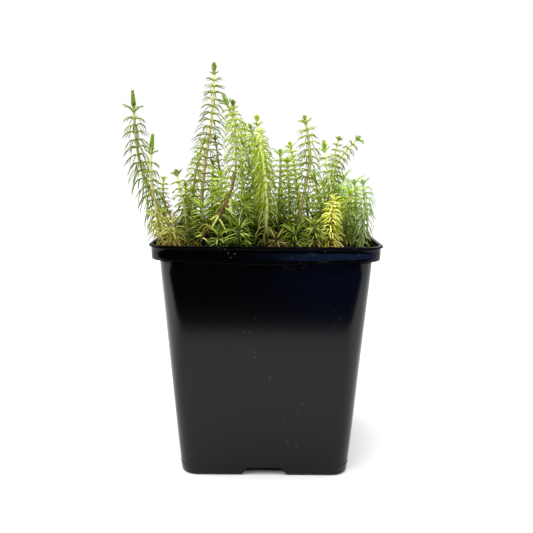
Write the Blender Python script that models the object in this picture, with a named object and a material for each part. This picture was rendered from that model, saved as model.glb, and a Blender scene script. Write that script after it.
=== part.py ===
"""Marestail growing in a square nursery pot.

The pot is one moulded plastic shell with drain slots, the compost is one plug that fills it, and
every shoot is one solid: a stem with whorls of narrow leaves and a closed bud at its tip.
Run with: blender --background --python part.py
"""
import math

import bmesh
import bpy
import numpy as np
from mathutils import Vector
from mathutils.bvhtree import BVHTree

# All sizes are in millimetres and angles in radians, until MM turns a length into metres.
MM = 0.001
TOUCH_GAP = 0.3              # clear space kept between two pieces that rest on each other

# Pot
POT_HEIGHT = 120.0
LIP_WIDTH = 110.0            # widest part, the thin lip round the top edge
BAND_WIDTH = 108.0           # stiffening band under the lip
BAND_HEIGHT = 7.2            # from the top edge to the band's lower edge at the corners
BAND_SAG = 1.3               # how much lower that edge runs in the middle of a side
NECK_WIDTH = 101.6           # wall just under the band
SHOULDER_WIDTH = 100.2       # wall 21 mm below the top edge, where it starts to taper more
SHOULDER_HEIGHT = 99.0
BASE_WIDTH = 86.4            # wall at the floor
FOOT_CHAMFER = 0.9           # sloped edge between wall and base
WALL = 0.9
BASE_THICKNESS = 1.2
LIP_HEIGHT = 1.1
LIP_EDGE = 0.4               # rounding of the lip's outer and inner edge
CORNER_RADIUS = 9.0
CORNER_STEPS = 3
SLOT_WIDTH = 19.3            # drain slot in the foot of each side
SLOT_HEIGHT = 4.2
SLOT_DEPTH = 5.0             # how far it runs into the base
SLOT_SLOPE = 2.4             # how much wider the slot is at the floor, on each side

# Compost
COMPOST_TOP = 113.5
COMPOST_MOUND = 1.0          # height of the gentle mound in the middle
COMPOST_LUMP = 0.5           # height of the lumps
COMPOST_EDGE = 50.0          # half width over which the mound falls away
COMPOST_RINGS = (34.0, 14.0)

# Growth, common to all shoots
STEM_SIDES = 5
STEM_TOP_RADIUS = 0.6
THINNEST_FOOT = 0.6          # radius of a stem's foot, without what it gains with its length
STEM_GROWTH = 0.0052         # radius that the foot gains with each millimetre of length
SLENDER_STEMS = {"shoot_brown_thin": 0.65, "shoot_twin_red": 0.82, "shoot_pale_front": 0.85,
                 "shoot_right_bud": 0.75, "shoot_back_slender": 0.7,
                 "shoot_leaning": 0.8}       # share of the common radius
BUD_RADIUS = 1.15
INTERNODE_GROWTH = 0.03      # how much longer each internode is, as a share of the top one
CARRIED_SPACING = 7.5        # the solids carry every second to fourth whorl, about this far apart
LEAF_THICKNESS = 1.0         # height of a leaf where it leaves the stem
GROWTH_ZONE = 0.6            # share of the shoot's length over which the leaves reach full size
YOUNG_DROOP_SHARE = 0.45     # droop of the top whorl as a share of the full droop
YOUNG_RISE = 0.9             # rise of the top whorl's tips as a share of their reach
DROOP_SHORTENING = 0.25      # how much less far out a leaf ends for each unit of droop
LEAF_GAP = 0.35              # clear space kept between leaves of different whorls
LOWEST_WHORL = 4.3           # height of the lowest whorl over the compost
BARE_STEMS = {"shoot_twin_red": 0.45}        # share of a stem, from its foot, that lost its leaves
LEAF_LENGTHS = (1.0, 0.85, 0.7, 0.55, 0.4)   # shares a crowded leaf is drawn in to
LEAF_LIFTS = (0.0, 1.5, -1.5, 3.0, -3.0)     # heights its tip is turned by
STEM_RODS = 16               # straight rods that stand for a stem where leaves are kept off it
ROD_LIMIT = 5000
STEM = -1                    # whorl number of a rod that belongs to a stem

# Shoots that stand out, from left to right: foot x and y on the compost, tip x, y and z, sideways
# bow and sway of the stem, full reach of a leaf, droop of its tip as a share of the reach, length
# of the closed bud, distance between the top two whorls, reach of the top whorl as a share of the
# full reach.
SHOOTS = {
    "shoot_far_left": (-43, -8, -69.5, -4, 193, -9.5, -1, 10.0, 0.75, 11.5, 3.5, 0.6),
    "shoot_left_pale": (-45, -30, -56, -24, 170.5, -5.5, 0, 8.0, 0.80, 10, 4.2, 0.5),
    "shoot_left_low": (-45, 17, -57.5, 14, 148.5, -5.5, 0, 5.0, 0.30, 2, 2.5, 0.5),
    "shoot_corner_yellow": (-47, -37, -52, -40, 133, -1, 0, 8.5, 0.35, 2, 1.8, 0.7),
    "shoot_corner_low": (-45, -45, -44.5, -46, 129.5, 0, 0, 9.0, 0.20, 1.5, 1.8, 0.8),
    "shoot_left_bud": (-38.5, -21, -46, -18, 153.5, 0.5, 0, 7.0, 0.45, 3.5, 3.2, 0.5),
    "shoot_left_small": (-41, 5, -44.5, 4, 146, 0, 0, 7.0, 0.35, 3, 2.1, 0.5),
    "shoot_behind_red": (-31, -28, -31.5, -29, 137, 0, 0, 9.5, 0.15, 2, 2.0, 0.6),
    "shoot_beside_tallest": (-38, -13, -39, -11, 144.5, 0, 0, 8.0, 0.40, 3, 2.2, 0.5),
    "shoot_tallest": (-33, -6, -27.5, -2, 207.5, -1.5, -1.5, 12.5, 0.36, 6, 3.0, 0.2),
    "shoot_behind_tallest": (-42, 26, -35, 20, 170.5, -3.5, 0, 8.0, 0.40, 4, 2.7, 0.4),
    "shoot_back_left": (-33, 37, -31.5, 34, 158, 0, 0, 8.0, 0.40, 3, 2.3, 0.4),
    "shoot_brown_thin": (-25, 14, -28.5, 10, 171, 1.5, 0, 4.0, 0.05, 2.5, 2.6, 0.6),
    "shoot_front_ladder": (-22.5, -24, -23, -22, 153, 0, 0, 9.5, 0.15, 3, 1.9, 0.6),
    "shoot_twin_back": (-3, 6, -23.5, 4, 192.5, 4.5, 0, 10.0, 0.45, 6, 2.6, 0.4),
    "shoot_twin_red": (-38.5, -40, -16.5, -30, 186.5, 12, 1.5, 9.5, 0.65, 5, 2.4, 0.35),
    "shoot_front_left": (-23, -45, -22, -46, 125, 0, 0, 8.0, 0.20, 1.5, 1.8, 0.7),
    "shoot_front_low": (-13, -44.5, -12.5, -45.5, 128.5, 0, 0, 10.0, 0.10, 2, 1.9, 0.7),
    "shoot_back_middle": (-14, 40, -14.5, 36, 159, 0, 0, 8.0, 0.40, 3, 2.3, 0.4),
    "shoot_middle_back": (-2.5, -2, -12.3, 2, 177.5, 3, 0, 8.5, 0.45, 4, 2.6, 0.4),
    "shoot_dark_low": (-10, -3, -10.5, -3, 139, 0, 0, 10.5, 0.20, 2, 1.9, 0.6),
    "shoot_dark_bud": (1, 26, -10, 20, 178, 1.5, -1.5, 7.5, 0.50, 5, 2.4, 0.6),
    "shoot_pale_front": (-1.5, -38, -5, -34, 179.5, 3, 0.5, 8.0, 0.80, 5, 2.6, 0.35),
    "shoot_pale_second": (3, -24, -4.5, -20, 174, -1, -2, 8.5, 0.65, 4, 2.6, 0.4),
    "shoot_brown_low": (5, -45, 4.5, -46, 123, 0, 0, 8.0, 0.20, 1.2, 1.5, 0.8),
    "shoot_olive": (7.5, -8, 7, -6, 164, -0.5, -0.5, 8.5, 0.30, 3.5, 2.6, 0.6),
    "shoot_olive_behind": (14, 12, 11, 10, 159.5, 0.5, 0, 7.5, 0.30, 3, 2.1, 0.5),
    "shoot_thin_back": (22, 32, 13, 26, 168.5, 0.5, -0.5, 7.0, 0.30, 4, 2.3, 0.5),
    "shoot_front_spread": (14, -45, 13, -46, 126.5, 0, 0, 9.5, 0.10, 2, 1.9, 0.7),
    "shoot_right_tall": (15.5, -34, 18, -26, 180, 2.5, -1.5, 9.0, 0.60, 4.2, 2.9, 0.45),
    "shoot_front_olive": (23.5, -44.5, 22.5, -45.5, 131, 0, 0, 7.5, 0.30, 2, 1.8, 0.5),
    "shoot_right_low": (30, 18, 26.5, 16, 151.5, 2.5, 0.5, 7.0, 0.35, 3, 2.2, 0.5),
    "shoot_right_bud": (39, -14, 29, -12, 168.5, 0, 0.5, 8.5, 0.40, 6, 3.2, 0.4),
    "shoot_right_short": (39, 29, 33, 26, 146.5, -1.5, -0.5, 7.5, 0.40, 3, 2.2, 0.6),
    "shoot_back_slender": (31, 41, 42.5, 34, 172, 1.5, 1, 5.5, 0.30, 2.5, 2.8, 0.45),
    "shoot_leaning": (35, 5, 50, 2, 171.5, -5, 4.5, 6.0, 0.70, 2.5, 2.2, 0.6),
    "shoot_right_canopy": (38, -5, 39, -6, 145, 0.5, 0, 9.5, 0.65, 2.5, 1.9, 0.65),
    "shoot_yellow": (31, -42, 32.5, -40, 142.5, -1, 0, 7.5, 0.30, 2, 1.6, 0.35),
    "shoot_far_right": (46.5, -33, 47, -28, 149.5, 1.5, -0.5, 7.5, 0.65, 2.5, 2.2, 0.65),
    "shoot_right_brown": (45, -4, 46.5, -4, 148.5, 2, 0, 9.0, 0.70, 2.5, 1.9, 0.7),
    "shoot_right_blue": (45, 14, 42.5, 13, 150, 0, -0.5, 10.0, 0.70, 2.5, 1.8, 0.7),
}

# Young shoots fill the ground between them, on a staggered grid
YOUNG_SPACING = 12.5
YOUNG_EDGE = 44.0            # farthest a young shoot stands from the middle of the pot
YOUNG_SCATTER = 2.0          # how far it may stand off the grid
YOUNG_CLEARANCE = 8.2        # nearest it stands to a shoot of the table
YOUNG_HEIGHT = (15.0, 31.0)
YOUNG_LEAN = 5.0
YOUNG_REACH = (8.0, 10.5)
YOUNG_DROOP = (0.0, 0.3)
YOUNG_BUD = 2.5
YOUNG_INTERNODE = 2.0
YOUNG_TOP_REACH = 0.6
SEED = 38

LEAF_GREEN = (0.20, 0.33, 0.06, 1.0)
LEAF_BLUISH = (0.19, 0.36, 0.13, 1.0)
LEAF_YELLOW = (0.55, 0.46, 0.08, 1.0)
POT_BLACK = (0.012, 0.013, 0.015, 1.0)
COMPOST_BROWN = (0.02, 0.014, 0.01, 1.0)
BLUISH_SHOOTS = {"shoot_twin_back", "shoot_dark_bud", "shoot_right_canopy", "shoot_far_right",
                 "shoot_right_brown", "shoot_right_blue"}
YELLOW_SHOOTS = {"shoot_yellow", "shoot_corner_yellow", "shoot_corner_low", "shoot_brown_low"}


def clear_scene():
    for found in list(bpy.data.objects):
        bpy.data.objects.remove(found, do_unlink=True)


def new_collection(name):
    made = bpy.data.collections.new(name)
    bpy.context.scene.collection.children.link(made)
    return made


def plain_material(name, colour, roughness):
    made = bpy.data.materials.new(name)
    made.use_nodes = True
    shader = made.node_tree.nodes["Principled BSDF"]
    shader.inputs["Base Color"].default_value = colour
    shader.inputs["Roughness"].default_value = roughness
    shader.inputs["Metallic"].default_value = 0.0
    return made


def object_from_bmesh(name, bm, collection, material=None):
    """Turn a bmesh in millimetres into an object in metres."""
    bmesh.ops.scale(bm, vec=(MM, MM, MM), verts=bm.verts)
    mesh = bpy.data.meshes.new(name)
    bm.to_mesh(mesh)
    bm.free()
    if material:
        mesh.materials.append(material)
    made = bpy.data.objects.new(name, mesh)
    collection.objects.link(made)
    return made


def rounded_square(half, radius):
    """Plan of a rounded square, as points in order: an arc at each corner, three along each side."""
    points = []
    for quarter in range(4):
        turn = quarter * math.pi / 2
        corner = half - radius
        piece = []
        for step in range(CORNER_STEPS + 1):
            angle = step / CORNER_STEPS * math.pi / 2
            piece.append((corner + radius * math.cos(angle), corner + radius * math.sin(angle)))
        for along in (0.5, 0.0, -0.5):
            piece.append((corner * along, half))
        for x, y in piece:
            points.append((x * math.cos(turn) - y * math.sin(turn),
                           x * math.sin(turn) + y * math.cos(turn)))
    return points


def level_ring(half, height, radius=CORNER_RADIUS, sag=0.0):
    """One ring of the pot. With sag, it hangs lower in the middle of each side, as a parabola."""
    ring = []
    for x, y in rounded_square(half, radius):
        along = min(abs(x), abs(y)) / (half - radius)
        ring.append(Vector((x, y, height - sag * max(0.0, 1.0 - along * along))))
    return ring


def raise_rings(bm, rings):
    """Build one closed solid from rings of equal count, each extruded from the one before."""
    base = [bm.verts.new(point) for point in rings[0]]
    cap = bm.faces.new(base)
    bands = []
    for ring in rings[1:]:
        cap = bmesh.ops.extrude_discrete_faces(bm, faces=[cap])["faces"][0]
        for vert, point in zip(cap.verts, ring):
            vert.co = point
        bands.append([loop.link_loop_radial_next.face for loop in cap.loops])
    bm.faces.new(list(reversed(base)))
    return cap, bands


def pot_rings():
    """Section of the pot: up the outside, over the lip and down the inside to the base."""
    neck = POT_HEIGHT - BAND_HEIGHT
    half_lip = LIP_WIDTH / 2
    half_band = BAND_WIDTH / 2
    half_neck = NECK_WIDTH / 2
    half_shoulder = SHOULDER_WIDTH / 2
    half_base = BASE_WIDTH / 2
    under_lip = POT_HEIGHT - LIP_HEIGHT
    inner_floor = half_base - WALL
    inner_corner = CORNER_RADIUS - WALL
    outside = [
        level_ring(half_base - FOOT_CHAMFER, 0.0),
        level_ring(half_base, FOOT_CHAMFER),
        level_ring(half_shoulder, SHOULDER_HEIGHT),
        level_ring(half_neck, neck - 0.2, sag=BAND_SAG),
        level_ring(half_band - 0.8, neck, sag=BAND_SAG),
        level_ring(half_band - 0.1, neck + 0.8, sag=BAND_SAG),
        level_ring(half_band, under_lip - 0.2),
        level_ring(half_lip, under_lip),
        level_ring(half_lip, POT_HEIGHT - LIP_EDGE),
        level_ring(half_lip - LIP_EDGE, POT_HEIGHT),
    ]
    inside = [
        level_ring(half_band - WALL - LIP_EDGE / 2, POT_HEIGHT, inner_corner),
        level_ring(half_band - WALL - LIP_EDGE, POT_HEIGHT - LIP_EDGE, inner_corner),
        level_ring(half_band - 0.1 - WALL - LIP_EDGE, neck + 0.9, inner_corner, BAND_SAG),
        level_ring(half_neck - WALL, neck + 0.4, inner_corner, BAND_SAG),
        level_ring(half_shoulder - WALL, SHOULDER_HEIGHT, inner_corner),
        level_ring(inner_floor, BASE_THICKNESS + FOOT_CHAMFER, inner_corner),
        level_ring(inner_floor - FOOT_CHAMFER, BASE_THICKNESS, inner_corner),
    ]
    return outside + inside


def slot_cutter(quarter, collection):
    """A wedge with a rounded roof that cuts one drain slot through wall and base."""
    half = SLOT_WIDTH / 2
    shape = [(-half - SLOT_SLOPE, -2.0), (half + SLOT_SLOPE, -2.0), (half + SLOT_SLOPE, 0.0),
             (half + 0.3, SLOT_HEIGHT * 0.6), (half - 0.5, SLOT_HEIGHT * 0.9), (half - 1.8, SLOT_HEIGHT),
             (1.8 - half, SLOT_HEIGHT), (0.5 - half, SLOT_HEIGHT * 0.9), (-half - 0.3, SLOT_HEIGHT * 0.6),
             (-half - SLOT_SLOPE, 0.0)]
    inner = BASE_WIDTH / 2 - SLOT_DEPTH
    outer = BASE_WIDTH / 2 + 6.0
    bm = bmesh.new()
    raise_rings(bm, [[Vector((x, -y, z)) for x, z in shape] for y in (outer, inner)])
    bmesh.ops.recalc_face_normals(bm, faces=bm.faces)
    cutter = object_from_bmesh(f"slot_cutter_{quarter + 1}", bm, collection)
    cutter.rotation_euler.z = quarter * math.pi / 2
    cutter.hide_render = True
    cutter.display_type = "WIRE"
    return cutter


def make_pot(parts, cutters):
    bm = bmesh.new()
    raise_rings(bm, pot_rings())
    pot = object_from_bmesh("pot", bm, parts, plain_material("pot_plastic", POT_BLACK, 0.35))
    for quarter in range(4):
        cut = pot.modifiers.new(f"drain_slot_{quarter + 1}", "BOOLEAN")
        cut.operation = "DIFFERENCE"
        cut.solver = "EXACT"
        cut.object = slot_cutter(quarter, cutters)
    return pot


def compost_height(x, y):
    """Height of the compost at a place: a flat mound with low lumps."""
    mound = math.cos(x / COMPOST_EDGE * math.pi / 2) * math.cos(y / COMPOST_EDGE * math.pi / 2)
    lumps = math.sin(x / 9.0 + 1.0) * math.cos(y / 8.0)
    return COMPOST_TOP + COMPOST_MOUND * mound + COMPOST_LUMP * lumps


def compost_ring(half):
    radius = min(CORNER_RADIUS - WALL - TOUCH_GAP, half * 0.6)
    return [Vector((x, y, compost_height(x, y))) for x, y in rounded_square(half, radius)]


def make_compost(parts):
    """The plug follows the pot's inside and widens under the rim. Returns it with its surface."""
    corner = CORNER_RADIUS - WALL - TOUCH_GAP
    floor = BASE_THICKNESS + TOUCH_GAP
    foot = BASE_WIDTH / 2 - WALL - TOUCH_GAP
    shoulder = SHOULDER_WIDTH / 2 - WALL - TOUCH_GAP
    neck = NECK_WIDTH / 2 - WALL - TOUCH_GAP
    ledge = POT_HEIGHT - BAND_HEIGHT + 0.4 + TOUCH_GAP
    rings = [
        level_ring(foot - FOOT_CHAMFER, floor, corner),
        level_ring(foot, floor + FOOT_CHAMFER, corner),
        level_ring(shoulder, SHOULDER_HEIGHT, corner),
        level_ring(neck, ledge - 1.2, corner),
        compost_ring(neck - 1.0),
    ]
    rings += [compost_ring(half) for half in COMPOST_RINGS]
    bm = bmesh.new()
    raise_rings(bm, rings)
    surface = BVHTree.FromBMesh(bm)
    material = plain_material("potting_compost", COMPOST_BROWN, 0.95)
    return object_from_bmesh("compost", bm, parts, material), surface


def surface_height(surface, x, y):
    hit, _, _, _ = surface.ray_cast(Vector((x, y, POT_HEIGHT * 2)), Vector((0.0, 0.0, -1.0)))
    return hit.z


class Shoot:
    """One shoot: where its stem runs, and where its whorls and leaves go."""

    def __init__(self, name, row, foot_height):
        self.name = name
        foot_x, foot_y, tip_x, tip_y, tip_z, self.bow, self.sway = row[:7]
        self.reach, self.droop, self.bud, self.internode, self.top_reach = row[7:]
        self.foot = Vector((foot_x, foot_y, foot_height))
        self.tip = Vector((tip_x, tip_y, tip_z))
        self.length = (self.tip - self.foot).length

    def point(self, share):
        """Middle of the stem: the straight line from foot to tip, bent sideways by two sine waves."""
        straight = self.foot.lerp(self.tip, share)
        bend = self.bow * math.sin(math.pi * share) + self.sway * math.sin(2 * math.pi * share)
        return straight + Vector((bend, 0.0, 0.0))

    def frame(self, share):
        """Direction of the stem at a share of its length, with two directions square to it."""
        step = 0.01
        along = (self.point(share + step) - self.point(share - step)).normalized()
        side = (Vector((1.0, 0.0, 0.0)) - along * along.x).normalized()
        return along, side, along.cross(side)

    def radius(self, share):
        foot_radius = THINNEST_FOOT + STEM_GROWTH * self.length
        common = foot_radius + (STEM_TOP_RADIUS - foot_radius) * share
        return common * SLENDER_STEMS.get(self.name, 1.0)

    def ring(self, share, radius):
        along, side, other = self.frame(share)
        middle = self.point(share)
        ring = []
        for corner in range(STEM_SIDES):
            angle = 2 * math.pi * corner / STEM_SIDES
            ring.append(middle + (side * math.cos(angle) + other * math.sin(angle)) * radius)
        return ring

    def whorls(self):
        """Shares of the length, from the top down, at which the solid carries a whorl."""
        shares = []
        count = 0
        lowest = max(LOWEST_WHORL, BARE_STEMS.get(self.name, 0.0) * self.length)
        while True:
            down = self.bud + self.internode * (count + INTERNODE_GROWTH / 2 * count * count)
            if self.length - down < lowest:
                return shares
            shares.append(1.0 - down / self.length)
            count += round(CARRIED_SPACING / self.internode)

    def leaf_tips(self, share, rng):
        """Tips of one whorl: out from the stem by the reach, rising near the bud, drooping below."""
        along, side, other = self.frame(share)
        middle = self.point(share)
        below_bud = (1.0 - share) * self.length - self.bud
        grown = math.sqrt(min(1.0, max(0.0, below_bud) / (GROWTH_ZONE * self.length)))
        reach = self.reach * (self.top_reach + (1.0 - self.top_reach) * grown)
        rise = YOUNG_RISE * (1.0 - grown) ** 4
        hang = self.droop * (YOUNG_DROOP_SHARE + (1.0 - YOUNG_DROOP_SHARE) * grown)
        tips = []
        for leaf in range(STEM_SIDES):
            angle = 2 * math.pi * (leaf + 0.5 + rng.uniform(-0.15, 0.15)) / STEM_SIDES
            out = side * math.cos(angle) + other * math.sin(angle)
            spread = (1.0 - DROOP_SHORTENING * hang) * rng.uniform(0.88, 1.08)
            tip = out * reach * spread + along * reach * rise
            tip.z -= reach * hang
            tips.append(middle + tip)
        return tips


class Rods:
    """Stems and leaves in place so far, each a straight rod that may taper to a point."""

    def __init__(self):
        self.starts = np.zeros((ROD_LIMIT, 3))
        self.ends = np.zeros((ROD_LIMIT, 3))
        self.radii = np.zeros((ROD_LIMIT, 2))
        self.shoots = np.zeros(ROD_LIMIT, dtype=int)
        self.whorls = np.zeros(ROD_LIMIT, dtype=int)
        self.count = 0

    def add(self, start, end, radii, shoot, whorl):
        self.starts[self.count] = start
        self.ends[self.count] = end
        self.radii[self.count] = radii
        self.shoots[self.count] = shoot
        self.whorls[self.count] = whorl
        self.count += 1

    def gap(self, start, end, radii, shoot, whorl):
        """Smallest clear distance from a new leaf to all but its own stem and its own whorl."""
        used = slice(0, self.count)
        start = np.array(start)
        new = np.array(end) - start
        old = self.ends[used] - self.starts[used]
        between = start - self.starts[used]
        new_square = new @ new
        old_square = (old * old).sum(1)
        cross = old @ new
        new_between = between @ new
        old_between = (old * between).sum(1)
        spread = np.maximum(new_square * old_square - cross * cross, 1e-9)
        on_new = np.clip((cross * old_between - new_between * old_square) / spread, 0.0, 1.0)
        on_old = np.clip((cross * on_new + old_between) / old_square, 0.0, 1.0)
        on_new = np.clip((cross * on_old - new_between) / new_square, 0.0, 1.0)
        apart = between + on_new[:, None] * new - on_old[:, None] * old
        distance = np.sqrt((apart * apart).sum(1))
        distance -= radii[0] + (radii[1] - radii[0]) * on_new
        distance -= self.radii[used, 0] + (self.radii[used, 1] - self.radii[used, 0]) * on_old
        own = (self.shoots[used] == shoot) & np.isin(self.whorls[used], (STEM, whorl))
        return distance[~own].min()


def clears_pot_and_compost(start, end, radius):
    """True if a rod keeps off the compost, and inside or above the pot's rim."""
    inner = BAND_WIDTH / 2 - WALL - 1.0
    corner = inner - CORNER_RADIUS
    for step in range(9):
        share = step / 8
        point = start.lerp(end, share)
        thick = radius * (1.0 - share) + LEAF_GAP
        inside = max(abs(point.x), abs(point.y)) < inner - thick
        past_corner = Vector((max(0.0, abs(point.x) - corner), max(0.0, abs(point.y) - corner)))
        inside = inside and past_corner.length < CORNER_RADIUS - thick
        if not inside and point.z < POT_HEIGHT + thick:
            return False
        if inside and point.z < compost_height(point.x, point.y) + thick + LEAF_GAP:
            return False
    return True


def fitted_tip(rods, root, tip, shoot, whorl):
    """The leaf's tip as grown, or drawn in or turned where another piece is in its way."""
    radii = (LEAF_THICKNESS * 0.7, 0.0)
    for lift in LEAF_LIFTS:
        for length in LEAF_LENGTHS:
            end = root.lerp(tip, length) + Vector((0.0, 0.0, lift * length))
            if clears_pot_and_compost(root, end, radii[0]):
                if rods.gap(root, end, radii, shoot, whorl) > LEAF_GAP:
                    rods.add(root, end, radii, shoot, whorl)
                    return end
    return None


def grow_shoot(shoot, number, rods, rng, parts, material):
    """Extrude the stem ring by ring and draw a leaf out of each side face at every whorl."""
    half_leaf = LEAF_THICKNESS / 2 / shoot.length
    whorls = list(reversed(shoot.whorls()))
    bud_start = 1.0 - shoot.bud / shoot.length
    stations = [(0.0, shoot.radius(0.0), False)]
    for share in whorls:
        stations.append((share - half_leaf, shoot.radius(share), False))
        stations.append((share + half_leaf, shoot.radius(share), True))
    stations.append((bud_start + (1.0 - bud_start) * 0.5, BUD_RADIUS, False))
    stations.append((1.0, BUD_RADIUS * 0.45, False))
    rings = [shoot.ring(share, radius) for share, radius, _ in stations]
    for point in rings[0]:
        point.z = shoot.foot.z
    bm = bmesh.new()
    _, bands = raise_rings(bm, rings)
    leaf_bands = [band for band, station in zip(bands, stations[1:]) if station[2]]
    for whorl, (share, band) in enumerate(zip(whorls, leaf_bands)):
        tips = shoot.leaf_tips(share, rng)
        ends = [fitted_tip(rods, face.calc_center_median(), tip, number, whorl)
                for face, tip in zip(band, tips)]
        for face, end in zip(band, ends):
            if end is not None:
                middle = bmesh.ops.poke(bm, faces=[face])["verts"][0]
                middle.co = end
    return object_from_bmesh(shoot.name, bm, parts, material)


def young_rows(rng):
    """Young shoots on a staggered grid, left out where a shoot of the table already stands."""
    feet = [Vector(row[:2]) for row in SHOOTS.values()]
    rows = []
    steps = int(YOUNG_EDGE // YOUNG_SPACING) + 1
    for line in range(-steps, steps + 1):
        for place in range(-steps, steps + 1):
            scatter = rng.uniform(-YOUNG_SCATTER, YOUNG_SCATTER, 2)
            x = (place + 0.5 * (line % 2)) * YOUNG_SPACING + scatter[0]
            y = line * YOUNG_SPACING + scatter[1]
            lean = rng.uniform(-YOUNG_LEAN, YOUNG_LEAN, 2)
            height = rng.uniform(*YOUNG_HEIGHT)
            reach = rng.uniform(*YOUNG_REACH)
            droop = rng.uniform(*YOUNG_DROOP)
            near = min((foot - Vector((x, y))).length for foot in feet)
            if max(abs(x), abs(y)) < YOUNG_EDGE and near > YOUNG_CLEARANCE:
                rows.append((x, y, x + lean[0], y + lean[1], COMPOST_TOP + height, 0.0, 0.0,
                             reach, droop, YOUNG_BUD, YOUNG_INTERNODE, YOUNG_TOP_REACH))
    return rows


def leaf_material(name, materials):
    if name in BLUISH_SHOOTS:
        return materials["bluish"]
    return materials["yellow" if name in YELLOW_SHOOTS else "green"]


def make_shoots(parts, surface):
    rng = np.random.default_rng(SEED)
    rows = dict(SHOOTS)
    for number, row in enumerate(young_rows(rng), start=1):
        rows[f"young_shoot_{number:02d}"] = row
    shoots = []
    for name, row in rows.items():
        shoots.append(Shoot(name, row, surface_height(surface, row[0], row[1]) + TOUCH_GAP))
    rods = Rods()
    for number, shoot in enumerate(shoots):
        for step in range(STEM_RODS):
            low = step / STEM_RODS
            high = (step + 1) / STEM_RODS
            in_bud = shoot.length * (1.0 - high) < shoot.bud
            radius = BUD_RADIUS if in_bud else shoot.radius(low)
            rods.add(shoot.point(low), shoot.point(high), (radius, radius), number, STEM)
    materials = {
        "green": plain_material("leaf_green", LEAF_GREEN, 0.45),
        "bluish": plain_material("leaf_bluish_green", LEAF_BLUISH, 0.45),
        "yellow": plain_material("leaf_yellow", LEAF_YELLOW, 0.5),
    }
    for number, shoot in enumerate(shoots):
        grow_shoot(shoot, number, rods, rng, parts, leaf_material(shoot.name, materials))


def main():
    clear_scene()
    parts = new_collection("marestail")
    cutters = new_collection("marestail_cutters")
    make_pot(parts, cutters)
    _, surface = make_compost(parts)
    make_shoots(parts, surface)


main()
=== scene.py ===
"""Marestail in a square nursery pot: the finished surfaces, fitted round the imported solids.

Sizes are in millimetres until a mesh is made, and turn into metres there.
"""
import math

import bpy
import numpy as np
from mathutils import Matrix, Vector


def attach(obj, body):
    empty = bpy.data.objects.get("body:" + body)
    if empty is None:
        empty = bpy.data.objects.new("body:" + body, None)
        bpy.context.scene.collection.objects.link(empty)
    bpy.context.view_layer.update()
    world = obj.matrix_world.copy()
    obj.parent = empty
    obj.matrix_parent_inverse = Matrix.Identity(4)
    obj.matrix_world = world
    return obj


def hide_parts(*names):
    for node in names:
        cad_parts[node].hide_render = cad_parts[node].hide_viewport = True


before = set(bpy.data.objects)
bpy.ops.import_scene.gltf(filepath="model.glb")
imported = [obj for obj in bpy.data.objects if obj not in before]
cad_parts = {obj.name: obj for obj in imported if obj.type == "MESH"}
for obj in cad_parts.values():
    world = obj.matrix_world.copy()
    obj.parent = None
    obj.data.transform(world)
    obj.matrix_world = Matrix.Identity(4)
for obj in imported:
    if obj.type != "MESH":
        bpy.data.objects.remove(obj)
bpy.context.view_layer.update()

MM = 0.001


# Nursery pot
# One shell of black polypropylene, injection moulded, with tapered sides so that it leaves the
# mould. A band and a thin lip stiffen its rim, and the foot of each side has a drain slot.

RIM_HEIGHT = 120.0
BAND_INSIDE = 52.7           # half of the clear width inside the band
CORNER_INSIDE = 8.1          # radius of the corners there
BAND_SAG = 1.3               # the band's lower edge hangs this much in the middle of a side
BLACK_PLASTIC = (0.0006, 0.0006, 0.0007, 1.0)
DUST_ON_PLASTIC = (0.16, 0.15, 0.14, 1.0)
SKIN_IOR = 1.3               # the moulded skin mirrors less than bare glossy plastic would
SKIN_ROUGHNESS = 0.15

# Section of the shell from the middle of the base, up the outside, over the lip and down the
# inside: height, half width, corner radius, share of the sag. The step at 5 mm is a mould line.
POT_SECTION = [
    (0.0, 14.0, 3.0, 0), (0.0, 32.0, 6.0, 0), (0.0, 41.9, 8.2, 0),
    (0.12, 42.5, 8.5, 0), (0.5, 43.0, 8.8, 0), (1.1, 43.2, 9.0, 0), (4.8, 43.48, 9.0, 0),
    (4.95, 43.62, 9.0, 0), (5.15, 43.62, 9.0, 0), (5.3, 43.5, 9.0, 0), (20.0, 44.6, 9.0, 0),
    (40.0, 46.0, 9.0, 0),
    (61.0, 47.45, 9.0, 0), (80.0, 48.78, 9.0, 0), (99.0, 50.1, 9.0, 0), (106.0, 50.5, 9.0, 0.3),
    (111.6, 50.8, 9.0, 1), (112.4, 50.95, 9.0, 1), (112.7, 51.4, 9.0, 1), (112.75, 52.6, 9.0, 1),
    (112.8, 53.6, 9.0, 1), (112.95, 53.85, 9.0, 1), (113.3, 53.98, 9.0, 1),
    (114.5, 54.02, 9.0, 0.8), (116.7, 54.07, 9.0, 0.3), (118.7, 54.12, 9.0, 0),
    (118.85, 54.2, 9.0, 0), (118.95, 54.6, 9.0, 0), (119.1, 54.92, 9.0, 0), (119.3, 55.0, 9.0, 0),
    (119.6, 55.0, 9.0, 0), (119.87, 54.9, 9.0, 0), (120.0, 54.65, 9.0, 0),
    (120.0, 53.6, 8.4, 0), (119.9, 53.3, 8.2, 0), (119.6, 53.12, 8.1, 0),
    (116.5, 52.9, 8.1, 0.3), (114.2, 52.7, 8.1, 0.9), (113.7, 52.4, 8.1, 1),
    (113.4, 50.6, 8.1, 1), (113.0, 50.0, 8.1, 1), (99.0, 49.2, 8.1, 0), (61.0, 46.5, 8.1, 0),
    (4.0, 42.7, 8.1, 0), (2.0, 42.2, 8.0, 0), (1.3, 41.4, 7.6, 0), (1.2, 30.0, 6.0, 0),
    (1.2, 12.0, 3.0, 0),
]

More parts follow.
